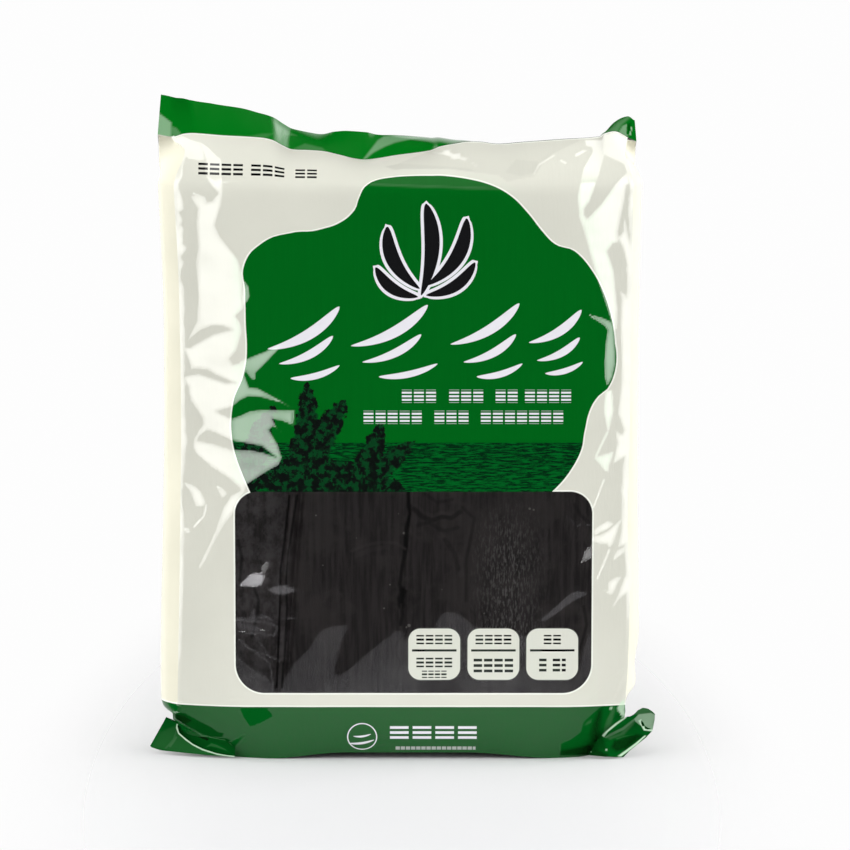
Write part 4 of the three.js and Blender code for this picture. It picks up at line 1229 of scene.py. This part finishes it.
LEFT_BACK_FOLDS = [
    (0, 0.3, -0.85, 0.5, [(-138.4, 21.1), (-132, 18), (-127.5, 15.6), (-123.6, 13.4), (-119.7, 11.5),
     (-121, 10.5), (-126.2, 12.7), (-132, 15.6), (-137.1, 19.2)]),
    (0, 0.3, 0.03, 0.6, [(-123.6, 5.7), (-118.5, 9.5), (-114.6, 8.2), (-109.5, 5.7), (-106.9, 3.1),
     (-114.6, 5.7), (-118.5, 6.6)]),
    (0, 0.3, 0.5, 0.25, [(-146.7, 25.5), (-142.2, 23.7), (-138.4, 21.7), (-132, 18.7), (-127.5, 16.5),
     (-127.5, 16), (-132, 18.1), (-138.4, 20.9), (-142.4, 23), (-146.6, 24.7)]),
    (0, 0.3, 0.12, 0.4, [(-127.5, 16.5), (-123.6, 14.7), (-118.5, 12.9), (-109.5, 11.1), (-109.3, 10.4),
     (-118.5, 12.1), (-123.9, 13.8)]),
]
RIGHT_FOLDS = [
    (0, 0.25, -0.6, 1.2, [(114, 4.4), (119, 6.8), (123.4, 4.4), (128.4, 1.9), (128.4, -0), (114, -0)]),
    (0, 0.25, -0.35, 1, [(119, 11.8), (124.6, 13.4), (125.9, 10.6), (127.7, 4.4), (122.1, 5), (117.2, 4.4)]),
    (0, 0.25, 0.6, 0.3, [(126.8, 5.6), (128, 5.4), (127.9, 4.2), (126.6, 4.2)]),
    (0, 0.25, 0.5, 0.3, [(117.2, 4), (118.3, 4), (118.3, 3.1), (117.3, 3.1)]),
    (0, 0.25, -0.6, 1.2, [(132.1, 10.6), (138.3, 12.4), (144.5, 14.6), (148.3, 14.3), (150.1, 13.4),
     (145.8, 9.9), (139.6, 5), (133.3, 3.7), (130.2, 6.2)]),
    (0, 0.25, 0.05, 1, [(127.7, 12.4), (135.8, 14.9), (142, 21.1), (145.8, 23.6), (143.9, 20.2),
     (138.3, 14.3), (129.6, 11.2)]),
    (0, 0.25, 0.12, 0.4, [(126.2, 12.6), (129.6, 14.9), (137.1, 18.5), (145.2, 24.6), (145.6, 23.5),
     (138.3, 17.3), (130.8, 13.7), (127.1, 12.1)]),
    (0, 0.25, 0.7, 0.3, [(124.6, 13.7), (127.7, 16.8), (133.3, 21.6), (139.7, 25.6), (140, 25), (134, 20.6),
     (128.4, 16), (125.9, 12.7)]),
    (0, 0.2, 0.4, 0.4, [(144.8, 23.9), (147.6, 27.1), (155.1, 27.9), (157.6, 26.7), (156.8, 20.8),
     (156, 16.8), (152.6, 18.5), (148.3, 20.2), (145.5, 22.4)]),
    (0, 0.2, 0.05, 0.5, [(144.3, 26.7), (147, 29.9), (150.1, 31.2), (153.2, 30.7), (155.8, 29),
     (155.2, 27.9), (147.6, 26.9)]),
    (0, 0.25, 0.9, 0.3, [(147.3, 23), (149, 23.9), (150.1, 21.1), (151.4, 17.9), (155.8, 17.3), (156, 16.3),
     (150.7, 16.9), (149, 19.9), (148.1, 21.1)]),
    (0, 0.25, -0.8, 0.3, [(149.2, 23), (150.4, 21.4), (151.1, 19.8), (149.8, 19.5), (149, 21.5)]),
    (0, 0.25, -0.7, 0.3, [(151.4, 19.6), (153.2, 18.3), (154.8, 18), (153.2, 17.5), (151.7, 18)]),
    (0, 0.25, 0.95, 0.3, [(134.3, 0.8), (135.8, 1.9), (145.8, 9.3), (151.1, 13.7), (152.1, 13.6),
     (146.4, 8.1), (136.6, 0.7)]),
    (0, 0.25, 0.06, 0.5, [(133.3, 11.8), (138.9, 13.5), (145.2, 15), (145.2, 14.3), (138.9, 12.6),
     (133.6, 10.9)]),
]
flap("ear_left_front",
     [(-146.4, 25.1, -6), (-142.2, 23.4, -8), (-138.7, 21.4, -9.5), (-139.5, 19.5, -10),
      (-138.4, 15.3, -11.5),
      (-133.9, 11.5, -14), (-129.4, 8.2, -16.5), (-123.6, 5.4, -18.5), (-114.6, 2.5, -20.5),
      (-108.8, 1.5, -21.5), (-103.8, 0.9, -22)],
     [(-156.4, 7.3, -6), (-155.7, 6.4, -6.5), (-150.0, 4.5, -9), (-133.9, 2.8, -15), (-121.0, 1.5, -18.5),
      (-110.7, 0.8, -21), (-103.5, 0.4, -22.2)],
     [(0, 0), (0.3, 0.5), (0.6, -0.4), (1, 0)], LEFT_FRONT_FOLDS)
# The back flap is painted in shade all over, lying behind the front one.
flap("ear_left_back",
     [(-146.4, 25.3, -4), (-142.2, 23.5, -6), (-138.4, 21.5, -8), (-132.0, 18.5, -11), (-127.5, 16.2, -13.5),
      (-123.6, 14.4, -15.5), (-118.5, 12.6, -18), (-109.5, 10.8, -21), (-103.5, 5.7, -21.5)],
     [(-155.7, 7.6, -4), (-150.0, 5.0, -6), (-133.9, 3.1, -12), (-121.0, 1.9, -15.5), (-110.7, 1.3, -18.5),
      (-103.8, 0.8, -20)],
     [(0, 0), (0.5, 0.8), (1, 0)], LEFT_BACK_FOLDS, -0.3)
flap("ear_right",
     [(124.6, 13.7, -26), (127.7, 16.8, -25), (133.3, 21.4, -23), (139.7, 25.4, -20), (142.0, 25.6, -18),
      (144.5, 26.9, -16), (147.0, 29.5, -14), (150.1, 31.0, -12), (153.2, 30.5, -10), (155.7, 28.9, -8),
      (157.6, 27.1, -7)],
     [(121.5, 10.6, -26), (118.4, 5.0, -24.5), (116.5, 1.4, -23), (126.5, 0.5, -22.5), (134.0, 0.2, -22),
      (138.0, 0.2, -20), (142.0, 4.4, -17.5), (152.0, 12.4, -13), (156.0, 16.7, -9.5), (157.3, 23.0, -7)],
     [(0, 0), (0.15, -1.5), (0.4, 1.5), (0.6, -0.8), (0.8, 0.6), (1, 0)], RIGHT_FOLDS)

# ---------------------------------------------------------------------------------------------
# The kelp. Broad dried fronds, folded to the pack's width and stacked, held by nothing but the film. Three
# sheets show side by side in the window: leathery, nearly black, with upright fibres, folds and wrinkles.

KELP_DARK, KELP_TONE = (0.042, 0.036, 0.0365), (0.092, 0.079, 0.08)
KELP_BLOOM, KELP_MOTTLE, KELP_FIBRE = (0.12, 0.106, 0.103), (0.19, 0.176, 0.18), (0.34, 0.325, 0.315)
KELP_PAINTED_FOOT_SHADE, KELP_SPECK = (0.004, 0.004, 0.004), (0.4, 0.38, 0.35)
PAINTED_SPLIT_SHADE, PAINTED_FOLD_HIGHLIGHT = (0.001, 0.001, 0.001), (0.25, 0.22, 0.22)
# Pale specks of salt on the sheets, as they look from the front, each with its radius.
SPECKS = [
    (-53.2, 151, 0.5), (-48.9, 120, 0.4), (-7.2, 108, 0.5), (-10.9, 93.3, 0.5), (1.5, 140, 0.8),
    (4.6, 82.7, 1), (3, 81.5, 0.5), (74.9, 131.9, 0.35), (25.1, 105, 0.3), (51.3, 90.2, 0.5),
    (79.5, 155.3, 0.7), (82, 154.6, 0.6), (-28, 137, 0.3), (-2, 152, 0.3),
]
SHEET_DEPTH = -24

kelp = bpy.data.materials.new("kelp")
wire = blank_tree(kelp)
across, _, up = parts(wire.node("ShaderNodeTexCoord", out="Object"))
x, z = across * 1000, up * 1000
streaks = flecks(wire, x, z, 0.3, 0.025, 4.0, 0.6)
bloom = flecks(wire, x + 40, z, 0.03, 0.03, 5.0, 0.6)
mottle = flecks(wire, x, z, 0.12, 0.09, 8.0, 0.7)
fibre = flecks(wire, x, z + 70, 0.8, 0.19, 6.0, 0.75)
fibrous = ink(abs(x - 66) - 14, 16) * ink(abs(z - 108) - 42, 22)
tone = blend(wire, ink(0.5 - streaks, 0.2), KELP_DARK, KELP_TONE)
tone = blend(wire, ink(0.53 - bloom, 0.1) * 0.55, tone, KELP_BLOOM)
tone = blend(wire, ink(0.5 - mottle, 0.14) * ink(x + 71, 6) * 0.75, tone, KELP_MOTTLE)
tone = blend(wire, ink(0.545 - fibre, 0.04) * fibrous * 0.8, tone, KELP_FIBRE)
# Painted shade: the kelp darker towards the foot.
tone = blend(wire, ink(z - 62, 26) * 0.5, tone, KELP_PAINTED_FOOT_SHADE)
speck = None
for seen_x, seen_z, size in SPECKS:
    speck_x, _, speck_z = at_depth(seen_x, seen_z, SHEET_DEPTH)
    dot = ((x - speck_x) ** 2 + (z - speck_z) ** 2) ** 0.5 - size
    speck = dot if speck is None else least(speck, dot)
tone = blend(wire, ink(speck, 0.2) * 0.8, tone, KELP_SPECK)
# Painted shade in the kelp's folds and splits, and painted highlights along them.
painted_fold_light = wire.node("ShaderNodeAttribute", {"attribute_name": "painted_light"}, out=2)
tone = blend(wire, most(-painted_fold_light, 0), tone, PAINTED_SPLIT_SHADE)
tone = blend(wire, most(painted_fold_light, 0), tone, PAINTED_FOLD_HIGHLIGHT)
grain = wire.node("ShaderNodeBump", {}, {"Strength": 0.5, "Distance": 0.0004, "Height": fibre})
leather = wire.node("ShaderNodeBsdfPrincipled", {},
                    {"Base Color": tone, "Roughness": 0.6, "Specular IOR Level": 0.1, "Normal": grain})
wire.node("ShaderNodeOutputMaterial", {}, {"Surface": leather})


def film_depth(xs, zs):
    """Where the face of the film is, over a grid of places on the block."""
    levels = np.array([place for kind, place in ROWS if kind == "block"])
    grid = face[:len(levels)]
    out = np.empty((len(zs), len(xs)))
    for i, level in enumerate(zs):
        k = np.clip(np.searchsorted(levels, level) - 1, 0, len(levels) - 2)
        t = (level - levels[k]) / (levels[k + 1] - levels[k])
        below, above = (np.interp(xs, row[:, 0], row[:, 1]) for row in grid[k:k + 2])
        out[i] = mix(below, above, t)
    return out


def ridge(distance, width):
    return np.exp(-(distance / width) ** 2)


# Lines painted on the kelp, each with its strength (below 0 painted shade in a fold or a split, above 0 a
# painted highlight along a fold) and width.
KELP_PAINTED_LINES = [
    (-0.85, 0.7, [(-69.7, 163), (-71.5, 148), (-73.4, 131.2), (-75.3, 116.3), (-75.7, 93.9), (-76.6, 67.8),
     (-77.7, 43.5)]),
    (-0.85, 0.8, [(-65, 163), (-66.5, 153.6), (-68.4, 140.6), (-71.5, 123.8), (-71.9, 110.7), (-71.2, 92.1),
     (-72.1, 75.3), (-73.4, 60.3), (-74.3, 43.5)]),
    (0.16, 1.2, [(-67.3, 161.1), (-69.7, 144.3), (-71.9, 127.5), (-73.6, 110.7), (-73.6, 88.3),
     (-74.3, 60.3)]),
    (-0.97, 1.5, [(4.4, 168.6), (4.4, 157.4), (5.5, 151.8), (3.1, 142.4), (3.3, 133.1), (2.2, 128.4)]),
    (-0.97, 2.2, [(3.3, 137.2), (3.3, 132.2)]),
    (-0.8, 1.3, [(2.2, 128.4), (0.7, 120.1), (-1.2, 107.9), (-0.5, 104.2)]),
    (-0.97, 2.6, [(1.2, 103.6), (-0.5, 98.6), (-0.1, 94.9)]),
    (-0.7, 1.2, [(-0.1, 94.9), (0.3, 88.3), (-0.6, 82.7)]),
    (0.14, 1, [(6.3, 164.8), (6.6, 151.8), (5.1, 135), (3.3, 116.3), (3.1, 105.1)]),
    (-0.55, 1.6, [(8, 154.5), (13, 149.5), (19, 147.5), (25, 149.8), (31, 149), (36.5, 152.8)]),
    (0.1, 1.2, [(9, 156.8), (14.5, 152), (20, 150.2), (25, 152.4), (30, 151.6)]),
    (-0.4, 1.4, [(10.5, 144.8), (17, 146.4), (22.5, 142.6), (27, 141), (35, 143)]),
    (-0.35, 1.2, [(15, 164), (22, 158.6), (31.5, 160.5)]),
    (0.1, 2, [(24, 138), (30, 132.5), (35.5, 124), (37, 114)]),
    (-0.35, 1.6, [(27, 135.5), (33, 127), (35, 117.5)]),
    (-0.4, 1.2, [(37.6, 155.5), (45.1, 149), (43.6, 138.7), (40.2, 123.8), (40.2, 97.7)]),
    (0.12, 1, [(-31.4, 128.4), (-22.1, 132.2), (-12.8, 134), (-3.4, 133.5), (2.2, 129.8)]),
    (0.1, 1.6, [(-27.7, 125.7), (-18.4, 129.4), (-9, 130.9)]),
    (-0.6, 1, [(-101.4, 135), (-99.5, 123.8), (-100.5, 110.7)]),
    (-0.6, 1, [(-92.1, 107), (-88.9, 97.7), (-90.2, 88.3), (-93, 75.3)]),
    (0.12, 1, [(-98.6, 110.7), (-95.8, 99.5), (-96.4, 90.2)]),
    (-0.5, 1, [(113.2, 93.9), (115.1, 82.7), (111.3, 67.8), (108.5, 60.3)]),
    (-0.4, 1.2, [(107.6, 157.4), (111.3, 150.8), (116.4, 146.2)]),
]

GRID_STEP = 0.6
SHEET_FOOT, SHEET_TOP = 34, 172
SHEET_LEFT, SHEET_RIGHT = -112, 127
BEHIND_FILM = 1.1
CLOSEST = -0.7
EDGE_CURL = 1.6


def kelp_sheet(name, node, left, right, relief, depth):
    """A sheet between two edges that wander with height, lying behind the film."""
    zs = np.arange(SHEET_FOOT, SHEET_TOP + 0.01, GRID_STEP)
    count = int((np.max(right(zs)) - np.min(left(zs))) / GRID_STEP)
    share = np.linspace(0, 1, count)[None, :]
    gx = left(zs)[:, None] * (1 - share) + right(zs)[:, None] * share
    gz = np.repeat(zs[:, None], count, 1)
    xs = np.arange(SHEET_LEFT, SHEET_RIGHT + 0.5, 1.0)
    film = film_depth(xs, zs)
    y = np.array([np.interp(gx[i], xs, film[i]) for i in range(len(zs))])
    y += BEHIND_FILM + np.maximum(depth + relief(gx, gz), CLOSEST)
    y += EDGE_CURL * np.exp(-np.minimum(gx - gx[:, :1], gx[:, -1:] - gx) / 0.8)
    points = np.stack([gx, y, gz], 2)
    seen_x, seen_z = from_front(points)
    # Painted shade and highlights along the kelp's lines.
    painted_fold_light = np.zeros(gx.shape)
    for strength, width, line in KELP_PAINTED_LINES:
        painted_fold_light = mix(painted_fold_light, strength, ease(1.4 - line_distance(line, seen_x, seen_z) / width))
    piece = grid_mesh(name, points, np.stack([gx, gz], 2), painted_light=painted_fold_light)
    piece.data.materials.append(kelp)
    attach(piece, "root")
    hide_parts(node)


# The edges between the sheets: a rolled fold on the left, and a crack that runs down the middle.
left_fold = through([(41, -78.5), (80, -76.5), (110, -74.5), (165, -69.5)])
crack = through([
    (34, -4), (50, -3), (62, -2.8), (73, -4.5), (80, 1.2), (89, 2), (95, -0.4), (104, 0.2), (122, 1.5),
    (130, 4.2), (136, 2.9), (141, 3.8), (149, 2.9), (165, 5.5), (172, 6)])


def left_relief(x, z):
    return 0.5 * waves(x, z, 21, (34, 15)) + 2.2 * ease((x - left_fold(z) + 9) / 8)


def middle_relief(x, z):
    fold = left_fold(z) + 2.6
    roll = -0.9 * ridge(x - fold, 2.6) + 2.0 * ridge(x - fold - 5.2, 1.5)
    wrinkle = 0.35 * waves(x, z * 0.3, 22, (30, 13)) + 0.3 * waves(x, z, 25, (26, 12)) * ease((x + 35) / 25)
    return roll + wrinkle


def right_relief(x, z):
    curl = 0.3 * np.sin((x + 6 * np.sin(z / 17)) / 3.1) * ridge(z - 146, 14) * ridge(x - 20, 22)
    return 0.3 * waves(x, z * 0.35, 23, (22, 9)) + 0.3 * waves(x, z, 24, (30, 14)) + curl


def level_edge(x):
    """A straight upright edge."""
    return lambda z: x + 0 * z


kelp_sheet("kelp_left", "kelp_sheet_left", level_edge(SHEET_LEFT), lambda z: left_fold(z) + 3, left_relief,
           0.3)
kelp_sheet("kelp_middle", "kelp_sheet_middle", left_fold, lambda z: crack(z) + 3, middle_relief, 0.2)
kelp_sheet("kelp_right", "kelp_sheet_right", lambda z: crack(z) + 0.9 * np.sin(z / 2.3) * np.sin(z / 7.9),
           level_edge(SHEET_RIGHT), right_relief, -0.5)

# The folded kelp behind the sheets is the CAD solid itself.
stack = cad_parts["kelp_stack"]
stack.data.materials.clear()
stack.data.materials.append(kelp)

# ---------------------------------------------------------------------------------------------
# The studio. A pale floor that fades out round the pack, a tall soft box on each side in two zones, soft fill
# and the camera, all in metres.

floor_mesh = bpy.data.meshes.new("floor")
FLOOR_SIDE, FLOOR_FRONT, FLOOR_BACK = 3, -0.62, 4
floor_mesh.from_pydata([(-FLOOR_SIDE, FLOOR_FRONT, 0), (FLOOR_SIDE, FLOOR_FRONT, 0),
                        (FLOOR_SIDE, FLOOR_BACK, 0), (-FLOOR_SIDE, FLOOR_BACK, 0)], [], [(0, 1, 2, 3)])
floor = bpy.data.objects.new("floor", floor_mesh)
bpy.context.scene.collection.objects.link(floor)
floor_paint = bpy.data.materials.new("floor")
wire = blank_tree(floor_paint)
across, away, _ = parts(wire.node("ShaderNodeTexCoord", out="Object"))
fade = ink(0.75 - ((across / 0.23) ** 2 + (away / 0.8) ** 2) ** 0.5, 0.35)
paper = wire.node("ShaderNodeBsdfDiffuse", {}, {"Color": (0.68, 0.68, 0.69, 1)})
clear = wire.node("ShaderNodeBsdfTransparent", {}, {"Color": (1, 1, 1, 1)})
surface = wire.node("ShaderNodeMixShader", {}, {0: fade, 1: paper, 2: clear})
wire.node("ShaderNodeOutputMaterial", {}, {"Surface": surface})
floor_mesh.materials.append(floor_paint)


def area_light(name, centre, target, width, height, radiance, glossy, diffuse, soft=(0.001, 0.001)):
    """A lamp behind a diffuser: it fades towards its rim over the shares soft of its width and height."""
    light = bpy.data.lights.new(name, "AREA")
    light.shape = "RECTANGLE"
    light.size, light.size_y = width, height
    light.energy = radiance * width * height * math.pi
    wire = blank_tree(light)
    rim = 1
    for place, share in zip(parts(wire.node("ShaderNodeNewGeometry", out="Parametric")), soft):
        rim = ink(abs(place - 0.5) - (0.5 - share / 2), share / 2) * rim
    glow = wire.node("ShaderNodeEmission", {}, {"Strength": rim})
    wire.node("ShaderNodeOutputLight", {}, {"Surface": glow})
    lamp = bpy.data.objects.new(name, light)
    lamp.location = centre
    lamp.rotation_euler = (Vector(target) - Vector(centre)).to_track_quat("-Z", "Y").to_euler()
    lamp.visible_glossy, lamp.visible_diffuse, lamp.visible_camera = glossy, diffuse, False
    bpy.context.scene.collection.objects.link(lamp)


def around(angle, distance, height):
    """A place at an angle round the pack from the front, in degrees."""
    turn = math.radians(angle)
    return (math.sin(turn) * distance, -math.cos(turn) * distance, height)


for side, name in ((-1, "left"), (1, "right")):
    for zone, start, end, radiance in (("near", 19, 25.5, 9.0), ("far", 22, 64, 6.4)):
        inner, outer = Vector(around(side * start, 1.9, 0.9)), Vector(around(side * end, 1.9, 0.9))
        area_light(f"softbox_{zone}_{name}", (inner + outer) / 2, (0, 0, 0.9), (outer - inner).length, 2.2,
                   radiance, True, False, (0.3 if zone == "near" else 0.42, 0.001))
    area_light(f"fill_{name}", around(side * 55, 2.0, 0.8), (0, 0, 0.2), 1.2, 1.6, 4.2, False, True)
    area_light(f"overhead_{name}", (side * 1.1, 0.4, 1.6), (side * 1.1, 0.4, 0), 1.5, 2.8, 3.6, True, False,
               (0.3, 0.3))
    area_light(f"side_{name}", (side * 1.8, 0.1, 0.7), (0, 0.1, 0.2), 1.2, 1.2, 5.2 if side < 0 else 6.2,
               False, True)
area_light("overhead_middle", (0.45, 0.3, 1.5), (0.45, 0.3, 0), 1.2, 1.8, 0.08, True, False, (0.3, 0.3))
area_light("fill_top", (0, -0.4, 2.2), (0, 0, 0), 2.5, 2.0, 0.7, False, True)

world = bpy.data.worlds.new("studio")
bpy.context.scene.world = world
wire = blank_tree(world)
_, away, rise = parts(wire.node("ShaderNodeTexCoord", out="Generated"))
wall = ink(0.35 - away, 0.15) * ink(rise - 0.6, 0.1)
mirrored = wire.node("ShaderNodeLightPath", out="Is Glossy Ray")
seen_by_camera = wire.node("ShaderNodeLightPath", out="Is Camera Ray")
strength = mirrored * (wall * 0.95 + 0.005) + (1 - mirrored) * 0.34
strength = seen_by_camera * 0.985 + (1 - seen_by_camera) * strength
room = wire.node("ShaderNodeBackground", {}, {"Color": (1, 1, 1, 1), "Strength": strength})
wire.node("ShaderNodeOutputWorld", {}, {"Surface": room})

bpy.context.scene.view_settings.view_transform = "Standard"

# The camera stands where the creases were drawn from. Its picture is shifted so that the pack lies as in the
# photo, whose pixels are this large at the pack.
CAMERA_DISTANCE = VIEW_DISTANCE / 1000
FRAME_PIXELS = 850
PIXEL = 0.000622
PACK_MIDDLE = 401.6
SHIFT_UP = 11
SENSOR = 36
target = Vector((0.0, 0.0, VIEW_AIM / 1000))
camera = bpy.data.cameras.new("camera")
camera.sensor_width = SENSOR
camera.lens = SENSOR * CAMERA_DISTANCE / (FRAME_PIXELS * PIXEL)
camera.shift_x = (FRAME_PIXELS / 2 - PACK_MIDDLE) / FRAME_PIXELS
camera.shift_y = SHIFT_UP / FRAME_PIXELS
eye = bpy.data.objects.new("camera", camera)
eye.location = target + Vector((0, -math.cos(VIEW_RISE), math.sin(VIEW_RISE))) * CAMERA_DISTANCE
eye.rotation_euler = (target - eye.location).to_track_quat("-Z", "Y").to_euler()
bpy.context.scene.collection.objects.link(eye)
bpy.context.scene.camera = eye
